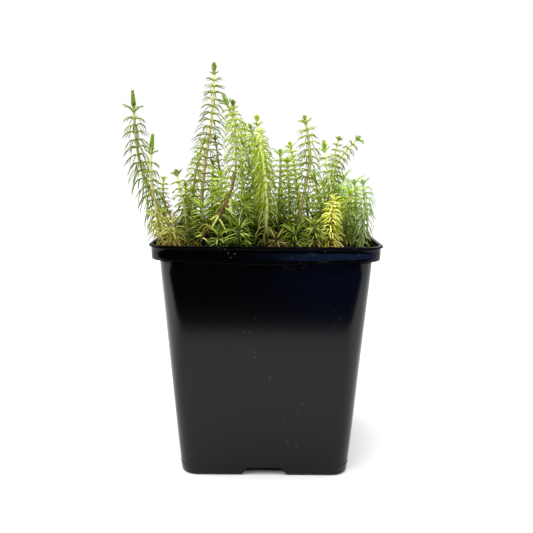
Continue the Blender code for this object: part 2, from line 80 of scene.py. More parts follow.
# Drain slot, seen from its side: half width and height, from the floor up to the rounded roof
SLOT_SHAPE = [(12.1, -2.0), (12.1, 0.0), (11.2, 1.1), (10.1, 2.3), (9.6, 3.2), (9.1, 3.8),
              (8.4, 4.15), (7.4, 4.3)]
SLOT_BACK = 38.2             # distance of the slot's inner end from the middle of the pot
SLOT_FRONT = 48.0            # where its cutter ends, clear outside the wall


def rounded_squares(half, radius, arc_steps=10, side_steps=32):
    """Plans of rounded squares, as rings x points x 2. In each quarter an arc of the radius turns
    round the point (half - radius, half - radius), and even steps follow the side after it; the
    other quarters are that one turned by 90, 180 and 270 degrees."""
    half = np.asarray(half, float)[:, None]
    radius = np.asarray(radius, float)[:, None]
    corner = half - radius
    angle = np.linspace(0.0, np.pi / 2, arc_steps + 1)[None]
    along = np.linspace(1.0, -1.0, side_steps + 1)[None, 1:-1]
    x = np.hstack([corner + radius * np.cos(angle), corner * along])
    y = np.hstack([corner + radius * np.sin(angle), half + 0.0 * along])
    return np.stack([np.hstack([x, -y, -x, y]), np.hstack([y, x, -y, -x])], axis=-1)


def loft_faces(rings, around, first=0):
    """Quads between rings, and fans from the last two points, the poles, to the end rings."""
    i = np.arange(rings - 1)[:, None] * around + first
    j = np.arange(around)[None]
    k = (j + 1) % around
    quads = np.stack([i + j, i + k, i + around + k, i + around + j], axis=-1).reshape(-1, 4)
    low_pole = first + rings * around
    start = np.stack([0 * j + low_pole, first + k, first + j], axis=-1)[0]
    last = first + (rings - 1) * around
    end = np.stack([last + j, last + k, 0 * j + low_pole + 1], axis=-1)[0]
    return quads, np.vstack([start, end])


def mesh_piece(name, points, quads, triangles, material, uv=None, masks=None):
    """Mesh object from arrays in millimetres. uv has a row for each point and goes to its corners,
    and masks are named values of the points."""
    mesh = bpy.data.meshes.new(name)
    corners = np.concatenate([quads.ravel(), triangles.ravel()]).astype(np.int32)
    starts = np.concatenate([np.arange(len(quads)) * 4,
                             len(quads) * 4 + np.arange(len(triangles)) * 3]).astype(np.int32)
    mesh.vertices.add(len(points))
    mesh.vertices.foreach_set("co", (np.asarray(points) * MM).astype(np.float32).ravel())
    mesh.loops.add(len(corners))
    mesh.loops.foreach_set("vertex_index", corners)
    mesh.polygons.add(len(starts))
    mesh.polygons.foreach_set("loop_start", starts)
    mesh.polygons.foreach_set("use_smooth", np.ones(len(starts), bool))
    if uv is not None:
        layer = mesh.uv_layers.new(name="surface")
        layer.data.foreach_set("uv", np.asarray(uv)[corners].astype(np.float32).ravel())
    for mask, values in (masks or {}).items():
        attribute = mesh.attributes.new(mask, "FLOAT", "POINT")
        attribute.data.foreach_set("value", np.asarray(values, np.float32))
    mesh.update(calc_edges=True)
    mesh.materials.append(material)
    piece = bpy.data.objects.new(name, mesh)
    bpy.context.scene.collection.objects.link(piece)
    return piece


def new_group(name, inputs, outputs):
    """Node group with (socket type, name, value) inputs and (socket type, name) outputs."""
    group = bpy.data.node_groups.new(name, "ShaderNodeTree")
    for kind, socket, value in inputs:
        made = group.interface.new_socket(socket, in_out="INPUT", socket_type=f"NodeSocket{kind}")
        made.default_value = value
    for kind, socket in outputs:
        group.interface.new_socket(socket, in_out="OUTPUT", socket_type=f"NodeSocket{kind}")
    return group, group.nodes.new("NodeGroupInput"), group.nodes.new("NodeGroupOutput")


def noise(tree, source, scale, detail=3.0, roughness=0.55):
    node = tree.nodes.new("ShaderNodeTexNoise")
    node.inputs["Scale"].default_value = scale
    node.inputs["Detail"].default_value = detail
    node.inputs["Roughness"].default_value = roughness
    tree.links.new(source, node.inputs["Vector"])
    return node.outputs["Fac"]


def calculate(tree, operation, first, second=None, clamp=False):
    node = tree.nodes.new("ShaderNodeMath")
    node.operation = operation
    node.use_clamp = clamp
    for socket, value in zip(node.inputs, (first, second)):
        if isinstance(value, bpy.types.NodeSocket):
            tree.links.new(value, socket)
        elif value is not None:
            socket.default_value = value
    return node.outputs[0]


def times(tree, first, second):
    return calculate(tree, "MULTIPLY", first, second)


def plus(tree, first, second):
    return calculate(tree, "ADD", first, second)


def spread(tree, value, low, high, new_low=0.0, new_high=1.0):
    """Map a value between two limits onto two others, smoothly and without leaving them."""
    node = tree.nodes.new("ShaderNodeMapRange")
    node.interpolation_type = "SMOOTHSTEP"
    tree.links.new(value, node.inputs["Value"])
    limits = {"From Min": low, "From Max": high, "To Min": new_low, "To Max": new_high}
    for socket, limit in limits.items():
        node.inputs[socket].default_value = limit
    return node.outputs["Result"]


def mixed(tree, share, first, second):
    """Colour between two colours by a share."""
    node = tree.nodes.new("ShaderNodeMix")
    node.data_type = "RGBA"
    for number, value in ((0, share), (6, first), (7, second)):
        if isinstance(value, bpy.types.NodeSocket):
            tree.links.new(value, node.inputs[number])
        else:
            node.inputs[number].default_value = value
    return node.outputs[2]


def placed_group(tree, group, values):
    """The group as a node of a material, with its inputs set or linked by name."""
    node = tree.nodes.new("ShaderNodeGroup")
    node.node_tree = group
    for socket, value in values.items():
        if isinstance(value, bpy.types.NodeSocket):
            tree.links.new(value, node.inputs[socket])
        else:
            node.inputs[socket].default_value = value
    return node


def new_material(name):
    made = bpy.data.materials.new(name)
    made.use_nodes = True
    tree = made.node_tree
    return made, tree, tree.nodes["Principled BSDF"]


def object_place(tree):
    return tree.nodes.new("ShaderNodeTexCoord").outputs["Object"]


def bumped(tree, shader, height, strength, distance):
    node = tree.nodes.new("ShaderNodeBump")
    node.inputs["Strength"].default_value = strength
    node.inputs["Distance"].default_value = distance
    tree.links.new(height, node.inputs["Height"])
    tree.links.new(node.outputs["Normal"], shader.inputs["Normal"])


def specks_group():
    """Grains of dust: small round cells, kept where a coarse noise is high, so that they come in
    drifts with bare places between them."""
    group, given, result = new_group(
        "specks_of_dust",
        [("Vector", "Place", (0.0, 0.0, 0.0)), ("Float", "Grain Scale", 900.0),
         ("Float", "Drift Scale", 40.0), ("Float", "Bareness", 0.6)],
        [("Float", "Mask")])
    cells = group.nodes.new("ShaderNodeTexVoronoi")
    cells.feature = "F1"
    group.links.new(given.outputs["Place"], cells.inputs["Vector"])
    group.links.new(given.outputs["Grain Scale"], cells.inputs["Scale"])
    drift = group.nodes.new("ShaderNodeTexNoise")
    drift.inputs["Detail"].default_value = 4.0
    group.links.new(given.outputs["Place"], drift.inputs["Vector"])
    group.links.new(given.outputs["Drift Scale"], drift.inputs["Scale"])
    grain = spread(group, cells.outputs["Distance"], 0.12, 0.3, 1.0, 0.0)
    pick = group.nodes.new("ShaderNodeSeparateColor")
    group.links.new(cells.outputs["Color"], pick.inputs["Color"])
    chance = plus(group, drift.outputs["Fac"], times(group, pick.outputs[0], 0.35))
    kept = calculate(group, "SUBTRACT", chance, given.outputs["Bareness"])
    shown = calculate(group, "MULTIPLY", kept, 12.0, clamp=True)
    mask = calculate(group, "MULTIPLY", grain, shown, clamp=True)
    group.links.new(mask, result.inputs["Mask"])
    return group


SPECKS = specks_group()


def pot_plastic():
    """Near-black plastic with a soft skin, faint mould streaks, specks of dust and, on the right
    half of the band, pale scuffs. The skin shines less on the band, and as painted shade also on
    the wall under it, in the hollows under the lip and under the band, and inside the drain slots."""
    made, tree, shader = new_material("pot_plastic")
    place = object_place(tree)
    split = tree.nodes.new("ShaderNodeSeparateXYZ")
    tree.links.new(place, split.inputs[0])
    x, y, z = split.outputs

    near_rim = spread(tree, z, 0.104, 0.119)
    specks = placed_group(tree, SPECKS, {"Place": place, "Grain Scale": 700.0, "Drift Scale": 55.0,
                                         "Bareness": 0.84}).outputs["Mask"]
    level = tree.nodes.new("ShaderNodeMapping")
    level.inputs["Scale"].default_value = (1.0, 1.0, 4.0)
    tree.links.new(place, level.inputs["Vector"])
    scuffs = noise(tree, level.outputs["Vector"], 130.0, 6.0, 0.7)
    scuffs = times(tree, spread(tree, scuffs, 0.52, 0.75, 0.0, 0.16), spread(tree, x, -0.01, 0.015))
    dust = times(tree, plus(tree, times(tree, specks, 0.5), scuffs), near_rim)
    low_specks = placed_group(tree, SPECKS, {"Place": place, "Grain Scale": 420.0,
                                             "Drift Scale": 26.0, "Bareness": 0.86}).outputs["Mask"]
    dust = calculate(tree, "MAXIMUM", dust, times(tree, low_specks, 0.15))
    tree.links.new(mixed(tree, dust, BLACK_PLASTIC, DUST_ON_PLASTIC), shader.inputs["Base Color"])

    streaks = tree.nodes.new("ShaderNodeMapping")
    streaks.inputs["Scale"].default_value = (1.0, 1.0, 0.12)
    tree.links.new(place, streaks.inputs["Vector"])
    flow = noise(tree, streaks.outputs["Vector"], 160.0, 4.0)
    grain = noise(tree, place, 1800.0, 2.0)
    rough = plus(tree, spread(tree, flow, 0.3, 0.7, 0.13, 0.17), times(tree, dust, 0.4))
    tree.links.new(rough, shader.inputs["Roughness"])
    bumped(tree, shader, plus(tree, times(tree, flow, 0.6), times(tree, grain, 0.4)), 0.05, 0.0002)

    skin = spread(tree, z, 0.1125, 0.1135, 1.0, 0.6)
    # Painted shade: less coat on the wall under the band, in the two hollows and inside the slots,
    # where shade falls.
    skin = times(tree, skin, spread(tree, z, 0.096, 0.112, 1.0, 0.75))
    for hollow, reach in ((0.119, 0.0005), (0.1123, 0.0012)):
        away = calculate(tree, "ABSOLUTE", calculate(tree, "SUBTRACT", z, hollow))
        skin = times(tree, spread(tree, away, reach * 0.4, reach, 0.15, 1.0), skin)
    sideways, backward = calculate(tree, "ABSOLUTE", x), calculate(tree, "ABSOLUTE", y)
    on_wall = spread(tree, calculate(tree, "MAXIMUM", sideways, backward), 0.0421, 0.0428)
    beside_slot = spread(tree, calculate(tree, "MINIMUM", sideways, backward), 0.0125, 0.0135)
    out_of_slot = calculate(tree, "MAXIMUM", calculate(tree, "MAXIMUM", on_wall, beside_slot), 0.1)
    tree.links.new(times(tree, skin, out_of_slot), shader.inputs["Coat Weight"])
    shader.inputs["Coat IOR"].default_value = SKIN_IOR
    shader.inputs["Coat Roughness"].default_value = SKIN_ROUGHNESS
    shader.inputs["Specular IOR Level"].default_value = 0.0
    return made


section = np.array(POT_SECTION)
plans = rounded_squares(section[:, 1], section[:, 2])
straight = (section[:, 1] - section[:, 2])[:, None]
across = np.abs(plans).min(-1) / straight
sag = BAND_SAG * section[:, 3:4] * np.clip(1.0 - across ** 2, 0.0, 1.0)
pot_rings = np.dstack([plans, section[:, :1] - sag])
pot_points = np.vstack([pot_rings.reshape(-1, 3), [(0, 0, 0)], [(0, 0, 1.2)]])
pot_quads, pot_fans = loft_faces(len(pot_rings), pot_rings.shape[1])
pot = mesh_piece("pot_shell", pot_points, pot_quads, pot_fans, pot_plastic())

outline = np.array(SLOT_SHAPE)
outline = np.vstack([outline, outline[::-1] * (-1, 1)])
for turn in range(4):
    ends = [np.column_stack([outline[:, 0], np.full(len(outline), -depth), outline[:, 1]])
            for depth in (SLOT_BACK, SLOT_FRONT)]
    cos, sin = round(math.cos(turn * math.pi / 2)), round(math.sin(turn * math.pi / 2))
    turned = np.array([[cos, -sin, 0], [sin, cos, 0], [0, 0, 1]])
    corners = np.vstack(ends + [ends[0].mean(0)[None], ends[1].mean(0)[None]]) @ turned.T
    slot_quads, slot_fans = loft_faces(2, len(outline))
    cutter = mesh_piece(f"slot_cutter_{turn}", corners, slot_quads, slot_fans,
                        pot.data.materials[0])
    cut = pot.modifiers.new("drain_slot", "BOOLEAN")
    cut.operation = "DIFFERENCE"
    cut.solver = "EXACT"
    cut.object = cutter
    bpy.context.view_layer.objects.active = pot
    bpy.ops.object.modifier_apply(modifier=cut.name)
    bpy.data.objects.remove(cutter)
pot.data.set_sharp_from_angle(angle=math.radians(35))
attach(pot, "root")
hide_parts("pot")


# Compost
# Dark peat compost that fills the pot to just under the rim, watered until its surface broke up
# into crumbs. Some of them are tan bark.

COMPOST_TOP = 113.5
COMPOST_MOUND = 1.0          # height of the gentle mound in the middle
COMPOST_LUMP = 0.5           # height of the lumps
COMPOST_SPAN = 50.0          # half width over which the mound falls away
COMPOST_AROUND = 168         # points round the plug
LEDGE_FOOT = 112.6           # height at which the plug starts to widen over the foot of the band
LEDGE = 114.0                # height of its surface there
LEDGE_INSIDE = 49.8          # half width from which it does
LEDGE_SPAN = 44.0            # half width over which the ledge sags with the band
COMPOST_BLACK = (0.006, 0.0045, 0.0035, 1.0)
COMPOST_BROWN = (0.05, 0.03, 0.018, 1.0)
COMPOST_PAINTED_SHADE = (0.0008, 0.0007, 0.0006, 1.0)      # painted shade: near black for the plug low in the pot, seen in the drain slots
BARK_TAN = (0.19, 0.12, 0.065, 1.0)
CRUMBS = 1500
compost_rng = np.random.default_rng(21)


def compost_height(x, y):
    """Height of the surface: a mound of two cosines with low lumps of a sine and a cosine."""
    mound = np.cos(np.clip(x / COMPOST_SPAN, -1.2, 1.2) * np.pi / 2)
    mound = mound * np.cos(np.clip(y / COMPOST_SPAN, -1.2, 1.2) * np.pi / 2)
    lumps = np.sin(x / 9.0 + 1.0) * np.cos(y / 8.0)
    return COMPOST_TOP + COMPOST_MOUND * mound + COMPOST_LUMP * lumps


def smooth_noise(x, y, size, rng):
    """Random values on a square lattice of the given size, blended between its points by the
    smooth step 3t2 - 2t3 along x and along y. Runs from -1 to 1."""
    lattice = rng.uniform(-1.0, 1.0, (int(130 / size) + 3, int(130 / size) + 3))
    u, v = (x + 60.0) / size, (y + 60.0) / size
    i, j = np.floor(u).astype(int), np.floor(v).astype(int)
    s, t = u - i, v - j
    s, t = s * s * (3 - 2 * s), t * t * (3 - 2 * t)
    low = lattice[i, j] * (1 - s) + lattice[i + 1, j] * s
    high = lattice[i, j + 1] * (1 - s) + lattice[i + 1, j + 1] * s
    return low * (1 - t) + high * t


def compost_material():
    """Wet black peat with brown fibre in it; the tone of each crumb comes with its mesh, and the
    plug low in the pot is painted near black as shade.
    """
    made, tree, shader = new_material("potting_compost")
    place = object_place(tree)
    tone = tree.nodes.new("ShaderNodeAttribute")
    tone.attribute_name = "tone"
    coarse = noise(tree, place, 420.0, 5.0, 0.7)
    fine = noise(tree, place, 2600.0, 3.0)
    brown = spread(tree, plus(tree, coarse, times(tree, tone.outputs["Fac"], 0.5)), 0.5, 0.95)
    earth = mixed(tree, brown, COMPOST_BLACK, COMPOST_BROWN)
    tan = spread(tree, tone.outputs["Fac"], 0.75, 1.0, 0.0, 0.85)
    split = tree.nodes.new("ShaderNodeSeparateXYZ")
    tree.links.new(place, split.inputs[0])
    # Painted shade: below 5 to 10 cm the plug turns near black, for the dark inside the drain
    # slots.
    above_painted_shade = spread(tree, split.outputs["Z"], 0.05, 0.1)
    earth = mixed(tree, above_painted_shade, COMPOST_PAINTED_SHADE, mixed(tree, tan, earth, BARK_TAN))
    tree.links.new(earth, shader.inputs["Base Color"])
    shader.inputs["Specular IOR Level"].default_value = 0.1
    tree.links.new(spread(tree, fine, 0.35, 0.65, 0.7, 0.98), shader.inputs["Roughness"])
    bumped(tree, shader, plus(tree, coarse, times(tree, fine, 0.5)), 0.7, 0.0006)
    return made


# Sides of the plug: height, half width, corner radius.
body = np.array([(1.5, 14.0, 3.0), (1.5, 40.6, 7.4), (2.4, 41.9, 7.8), (50.0, 45.4, 7.8),
                 (99.0, 48.85, 7.8), (111.9, 49.6, 7.8)])
body_heights = np.repeat(body[:, :1], COMPOST_AROUND, axis=1)
body_rings = np.dstack([rounded_squares(body[:, 1], body[:, 2]), body_heights])
surface_half = np.concatenate([[49.7, 52.35], np.linspace(51.6, 1.2, 64)])
surface = rounded_squares(surface_half, np.minimum(7.8, surface_half * 0.6))
sx, sy = surface[..., 0], surface[..., 1]
rough = 0.0
for lump_size, lump_height in ((6.0, 0.9), (2.6, 0.7), (1.2, 0.45)):
    rough = rough + lump_height * smooth_noise(sx, sy, lump_size, compost_rng)
sz = compost_height(sx, sy) + rough
over_ledge = np.maximum(np.abs(sx), np.abs(sy)) > LEDGE_INSIDE
ledge = LEDGE - BAND_SAG * np.clip(1.0 - (np.abs(surface).min(-1) / LEDGE_SPAN) ** 2, 0.0, 1.0)
sz = np.where(over_ledge, np.maximum(sz, ledge), sz)
sz[0] = LEDGE_FOOT
sz[1] = ledge[1]
surface_rings = np.dstack([surface, sz])
compost_rings = np.concatenate([body_rings, surface_rings])
compost_points = np.vstack([compost_rings.reshape(-1, 3), [(0, 0, 1.5)],
                            [(0, 0, compost_height(0.0, 0.0))]])
compost_quads, compost_fans = loft_faces(len(compost_rings), COMPOST_AROUND)
tones = np.clip(compost_rng.normal(0.25, 0.12, len(compost_points)), 0.0, 0.7)


def golden_lump():
    """The twelve corners and twenty faces of an icosahedron of radius 1."""
    g = (1 + 5 ** 0.5) / 2
    corners = np.array([(-1, g, 0), (1, g, 0), (-1, -g, 0), (1, -g, 0), (0, -1, g), (0, 1, g),
                        (0, -1, -g), (0, 1, -g), (g, 0, -1), (g, 0, 1), (-g, 0, -1), (-g, 0, 1)])
    faces = np.array([(0, 11, 5), (0, 5, 1), (0, 1, 7), (0, 7, 10), (0, 10, 11), (1, 5, 9),
                      (5, 11, 4), (11, 10, 2), (10, 7, 6), (7, 1, 8), (3, 9, 4), (3, 4, 2),
                      (3, 2, 6), (3, 6, 8), (3, 8, 9), (4, 9, 5), (2, 4, 11), (6, 2, 10),
                      (8, 6, 7), (9, 8, 1)])
    return corners / math.hypot(1, g), faces


def turned_at_random(count, rng):
    """Rotation matrices from random unit quaternions."""
    w, x, y, z = rng.normal(size=(count, 4)).T
    size = np.sqrt(w * w + x * x + y * y + z * z)
    w, x, y, z = w / size, x / size, y / size, z / size
    return np.stack([
        np.stack([1 - 2 * (y * y + z * z), 2 * (x * y - z * w), 2 * (x * z + y * w)], -1),
        np.stack([2 * (x * y + z * w), 1 - 2 * (x * x + z * z), 2 * (y * z - x * w)], -1),
        np.stack([2 * (x * z - y * w), 2 * (y * z + x * w), 1 - 2 * (x * x + y * y)], -1)], -2)


lump_corners, lump_faces = golden_lump()
crumb_size = 0.35 + 1.1 * compost_rng.beta(1.2, 5.0, CRUMBS)
stretch = compost_rng.uniform(0.6, 1.5, (CRUMBS, 1, 3))
crumbs = lump_corners[None] * compost_rng.uniform(0.75, 1.2, (CRUMBS, 12, 1)) * stretch
crumbs = np.einsum("nij,nkj->nki", turned_at_random(CRUMBS, compost_rng), crumbs)
crumbs = crumbs * crumb_size[:, None, None]
at = compost_rng.uniform(-51.0, 51.0, (CRUMBS, 2))
at_height = compost_height(at[:, 0], at[:, 1]) + crumb_size * 0.3
crumbs = crumbs + np.column_stack([at, at_height + 0.4])[:, None]
crumb_faces = lump_faces[None] + 12 * np.arange(CRUMBS)[:, None, None] + len(compost_points)
crumb_tones = np.repeat(compost_rng.beta(1.3, 3.2, CRUMBS), 12)
compost = mesh_piece("compost_crumbs", np.vstack([compost_points, crumbs.reshape(-1, 3)]),
                     compost_quads, np.vstack([compost_fans, crumb_faces.reshape(-1, 3)]),
                     compost_material(), masks={"tone": np.concatenate([tones, crumb_tones])})
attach(compost, "root")
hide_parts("compost")


# Shoots
# Each shoot is one soft green stem that grew up through the compost. At every joint of the stem a
# ring of narrow, fleshy leaves stands out, and the youngest leaves are still folded into a bud.

STEM_AROUND = 8
STEM_TOP_RADIUS = 0.6
THINNEST_FOOT = 0.6          # radius of a stem's foot, without what it gains with its length
STEM_GROWTH = 0.0052         # radius that the foot gains with each millimetre of length
SLENDER_STEMS = {"shoot_brown_thin": 0.65, "shoot_twin_red": 0.82, "shoot_pale_front": 0.85,
                 "shoot_right_bud": 0.75, "shoot_back_slender": 0.7,
                 "shoot_leaning": 0.8}       # share of the common radius and leaf width
JOINT_SWELLING = 0.18        # how much thicker the stem is at a ring of leaves
JOINT_HEIGHT = 0.7
STEM_SUNK = 2.0              # how deep the stem is modelled into the compost
LEAVES_IN_A_RING = 12
INTERNODE_GROWTH = 0.03      # how much longer each internode is, as a share of the top one
LOWEST_RING = 2.2            # no ring stands lower on the stem than this
MOST_RINGS = 80
GROWTH_ZONE = 0.6            # share of the stem over which the leaves reach their full length
YOUNG_DROOP_SHARE = 0.45     # droop of the top ring as a share of the full droop
YOUNG_RISE = 0.9             # rise of the top ring's tips as a share of their reach
DROOP_SHORTENING = 0.25      # how much less far out a leaf ends for each unit of droop
LEAF_WIDTH_YOUNG = 0.47
LEAF_WIDTH_OLD = 0.66
LEAF_THICKNESS = 0.38
LEAF_TWIST = 0.8             # farthest a blade is rolled round its own length, in radians
LEAF_STEPS = 6
LEAF_AROUND = 5
FOLDED_SPACING = 0.8         # distance between the rings of folded leaves in a bud
FOLDED_AROUND = 7
FOLDED_LONGEST = 3.8
FOLDED_WIDTH = 0.55
FOLDED_THICKNESS = 0.36
BUD_GAP = 1.2                # clear stem between the folded leaves and the first open ring
SHORTEST_TUFT = 3.0          # how much of a bud the folded leaves fill, at least and at most
LONGEST_TUFT = 10.5

# Painted shade and light: leaves and stems are painted darker in the depth of the clump, where
# little light reaches them, and leaves lighter on top and darker below, as light from above falls.
PAINTED_UPPER_LIGHT = 0.25           # painted light: how much lighter a leaf's upper side is painted, and its underside darker
SHADE = 0.98                 # how much darker the painted shade makes them at the compost
SHADE_TOP = 139.0            # height under which that begins
SHADE_HEIGHT = 19.0          # how far below it is complete
SHADE_SIDE = 48.0            # distances from the middle of the pot along x and along y at which
SHADE_FRONT = 57.0           # it ends
SHADE_WIDTH = 13.0           # how far inside those distances it is complete
LIT_LEAF = 0.75              # share of it that the lightest leaves of a shoot are spared
LIT_SHOOTS = {"shoot_yellow", "shoot_twin_red", "shoot_corner_yellow", "shoot_corner_low"}
LIT_SHOOT_SHADE = 0.3        # share of it that those shoots get, as they stand in front

# Foot x and y on the compost, tip x, y and z, sideways bow and sway of the stem, full reach of a
# leaf, droop of its tip as a share of the reach, length of the closed bud, distance between the
# top two rings, and reach of the top ring as a share of the full reach.
SHOOTS = {
    "shoot_far_left": (-43, -8, -69.5, -4, 193, -9.5, -1, 10.0, 0.75, 11.5, 3.5, 0.6),
    "shoot_left_pale": (-45, -30, -56, -24, 170.5, -5.5, 0, 8.0, 0.80, 10, 4.2, 0.5),
    "shoot_left_low": (-45, 17, -57.5, 14, 148.5, -5.5, 0, 5.0, 0.30, 2, 2.5, 0.5),
    "shoot_corner_yellow": (-47, -37, -52, -40, 133, -1, 0, 8.5, 0.35, 2, 1.8, 0.7),
    "shoot_corner_low": (-45, -45, -44.5, -46, 129.5, 0, 0, 9.0, 0.20, 1.5, 1.8, 0.8),
    "shoot_left_bud": (-38.5, -21, -46, -18, 153.5, 0.5, 0, 7.0, 0.45, 3.5, 3.2, 0.5),
    "shoot_left_small": (-41, 5, -44.5, 4, 146, 0, 0, 7.0, 0.35, 3, 2.1, 0.5),
    "shoot_behind_red": (-31, -28, -31.5, -29, 137, 0, 0, 9.5, 0.15, 2, 2.0, 0.6),
    "shoot_beside_tallest": (-38, -13, -39, -11, 144.5, 0, 0, 8.0, 0.40, 3, 2.2, 0.5),
    "shoot_tallest": (-33, -6, -27.5, -2, 207.5, -1.5, -1.5, 12.5, 0.36, 6, 3.0, 0.2),
    "shoot_behind_tallest": (-42, 26, -35, 20, 170.5, -3.5, 0, 8.0, 0.40, 4, 2.7, 0.4),
    "shoot_back_left": (-33, 37, -31.5, 34, 158, 0, 0, 8.0, 0.40, 3, 2.3, 0.4),
    "shoot_brown_thin": (-25, 14, -28.5, 10, 171, 1.5, 0, 4.0, 0.05, 2.5, 2.6, 0.6),
    "shoot_front_ladder": (-22.5, -24, -23, -22, 153, 0, 0, 9.5, 0.15, 3, 1.9, 0.6),
    "shoot_twin_back": (-3, 6, -23.5, 4, 192.5, 4.5, 0, 10.0, 0.45, 6, 2.6, 0.4),
    "shoot_twin_red": (-38.5, -40, -16.5, -30, 186.5, 12, 1.5, 9.5, 0.65, 5, 2.4, 0.35),
    "shoot_front_left": (-23, -45, -22, -46, 125, 0, 0, 8.0, 0.20, 1.5, 1.8, 0.7),
    "shoot_front_low": (-13, -44.5, -12.5, -45.5, 128.5, 0, 0, 10.0, 0.10, 2, 1.9, 0.7),
    "shoot_back_middle": (-14, 40, -14.5, 36, 159, 0, 0, 8.0, 0.40, 3, 2.3, 0.4),
    "shoot_middle_back": (-2.5, -2, -12.3, 2, 177.5, 3, 0, 8.5, 0.45, 4, 2.6, 0.4),
    "shoot_dark_low": (-10, -3, -10.5, -3, 139, 0, 0, 10.5, 0.20, 2, 1.9, 0.6),
    "shoot_dark_bud": (1, 26, -10, 20, 178, 1.5, -1.5, 7.5, 0.50, 5, 2.4, 0.6),
    "shoot_pale_front": (-1.5, -38, -5, -34, 179.5, 3, 0.5, 8.0, 0.80, 5, 2.6, 0.35),
    "shoot_pale_second": (3, -24, -4.5, -20, 174, -1, -2, 8.5, 0.65, 4, 2.6, 0.4),
    "shoot_brown_low": (5, -45, 4.5, -46, 123, 0, 0, 8.0, 0.20, 1.2, 1.5, 0.8),
    "shoot_olive": (7.5, -8, 7, -6, 164, -0.5, -0.5, 8.5, 0.30, 3.5, 2.6, 0.6),
    "shoot_olive_behind": (14, 12, 11, 10, 159.5, 0.5, 0, 7.5, 0.30, 3, 2.1, 0.5),
    "shoot_thin_back": (22, 32, 13, 26, 168.5, 0.5, -0.5, 7.0, 0.30, 4, 2.3, 0.5),
    "shoot_front_spread": (14, -45, 13, -46, 126.5, 0, 0, 9.5, 0.10, 2, 1.9, 0.7),
    "shoot_right_tall": (15.5, -34, 18, -26, 180, 2.5, -1.5, 9.0, 0.60, 4.2, 2.9, 0.45),
    "shoot_front_olive": (23.5, -44.5, 22.5, -45.5, 131, 0, 0, 7.5, 0.30, 2, 1.8, 0.5),
    "shoot_right_low": (30, 18, 26.5, 16, 151.5, 2.5, 0.5, 7.0, 0.35, 3, 2.2, 0.5),
    "shoot_right_bud": (39, -14, 29, -12, 168.5, 0, 0.5, 8.5, 0.40, 6, 3.2, 0.4),
    "shoot_right_short": (39, 29, 33, 26, 146.5, -1.5, -0.5, 7.5, 0.40, 3, 2.2, 0.6),
    "shoot_back_slender": (31, 41, 42.5, 34, 172, 1.5, 1, 5.5, 0.30, 2.5, 2.8, 0.45),
    "shoot_leaning": (35, 5, 50, 2, 171.5, -5, 4.5, 6.0, 0.70, 2.5, 2.2, 0.6),
    "shoot_right_canopy": (38, -5, 39, -6, 145, 0.5, 0, 9.5, 0.65, 2.5, 1.9, 0.65),
    "shoot_yellow": (31, -42, 32.5, -40, 142.5, -1, 0, 7.5, 0.30, 2, 1.6, 0.35),
    "shoot_far_right": (46.5, -33, 47, -28, 149.5, 1.5, -0.5, 7.5, 0.65, 2.5, 2.2, 0.65),
    "shoot_right_brown": (45, -4, 46.5, -4, 148.5, 2, 0, 9.0, 0.70, 2.5, 1.9, 0.7),
    "shoot_right_blue": (45, 14, 42.5, 13, 150, 0, -0.5, 10.0, 0.70, 2.5, 1.8, 0.7),
}

# Young shoots fill the ground between them.
YOUNG_SPACING = 12.5         # of the staggered grid that they stand on
YOUNG_EDGE = 44.0            # none stands farther from the middle
YOUNG_SCATTER = 2.0
YOUNG_CLEARANCE = 8.2        # nearest it stands to a shoot of the table
YOUNG_LEAN = 5.0
YOUNG_HEIGHTS = (15.0, 31.0)
YOUNG_REACHES = (8.0, 10.5)
YOUNG_DROOPS = (0.0, 0.3)
YOUNG_BUD = 2.5
YOUNG_INTERNODE = 2.0
YOUNG_TOP_REACH = 0.6
BLUISH_SHOOTS = {"shoot_twin_back", "shoot_dark_bud", "shoot_right_canopy", "shoot_far_right",
                 "shoot_right_brown", "shoot_right_blue"}
YELLOW_SHOOTS = {"shoot_yellow", "shoot_corner_yellow", "shoot_corner_low", "shoot_brown_low"}

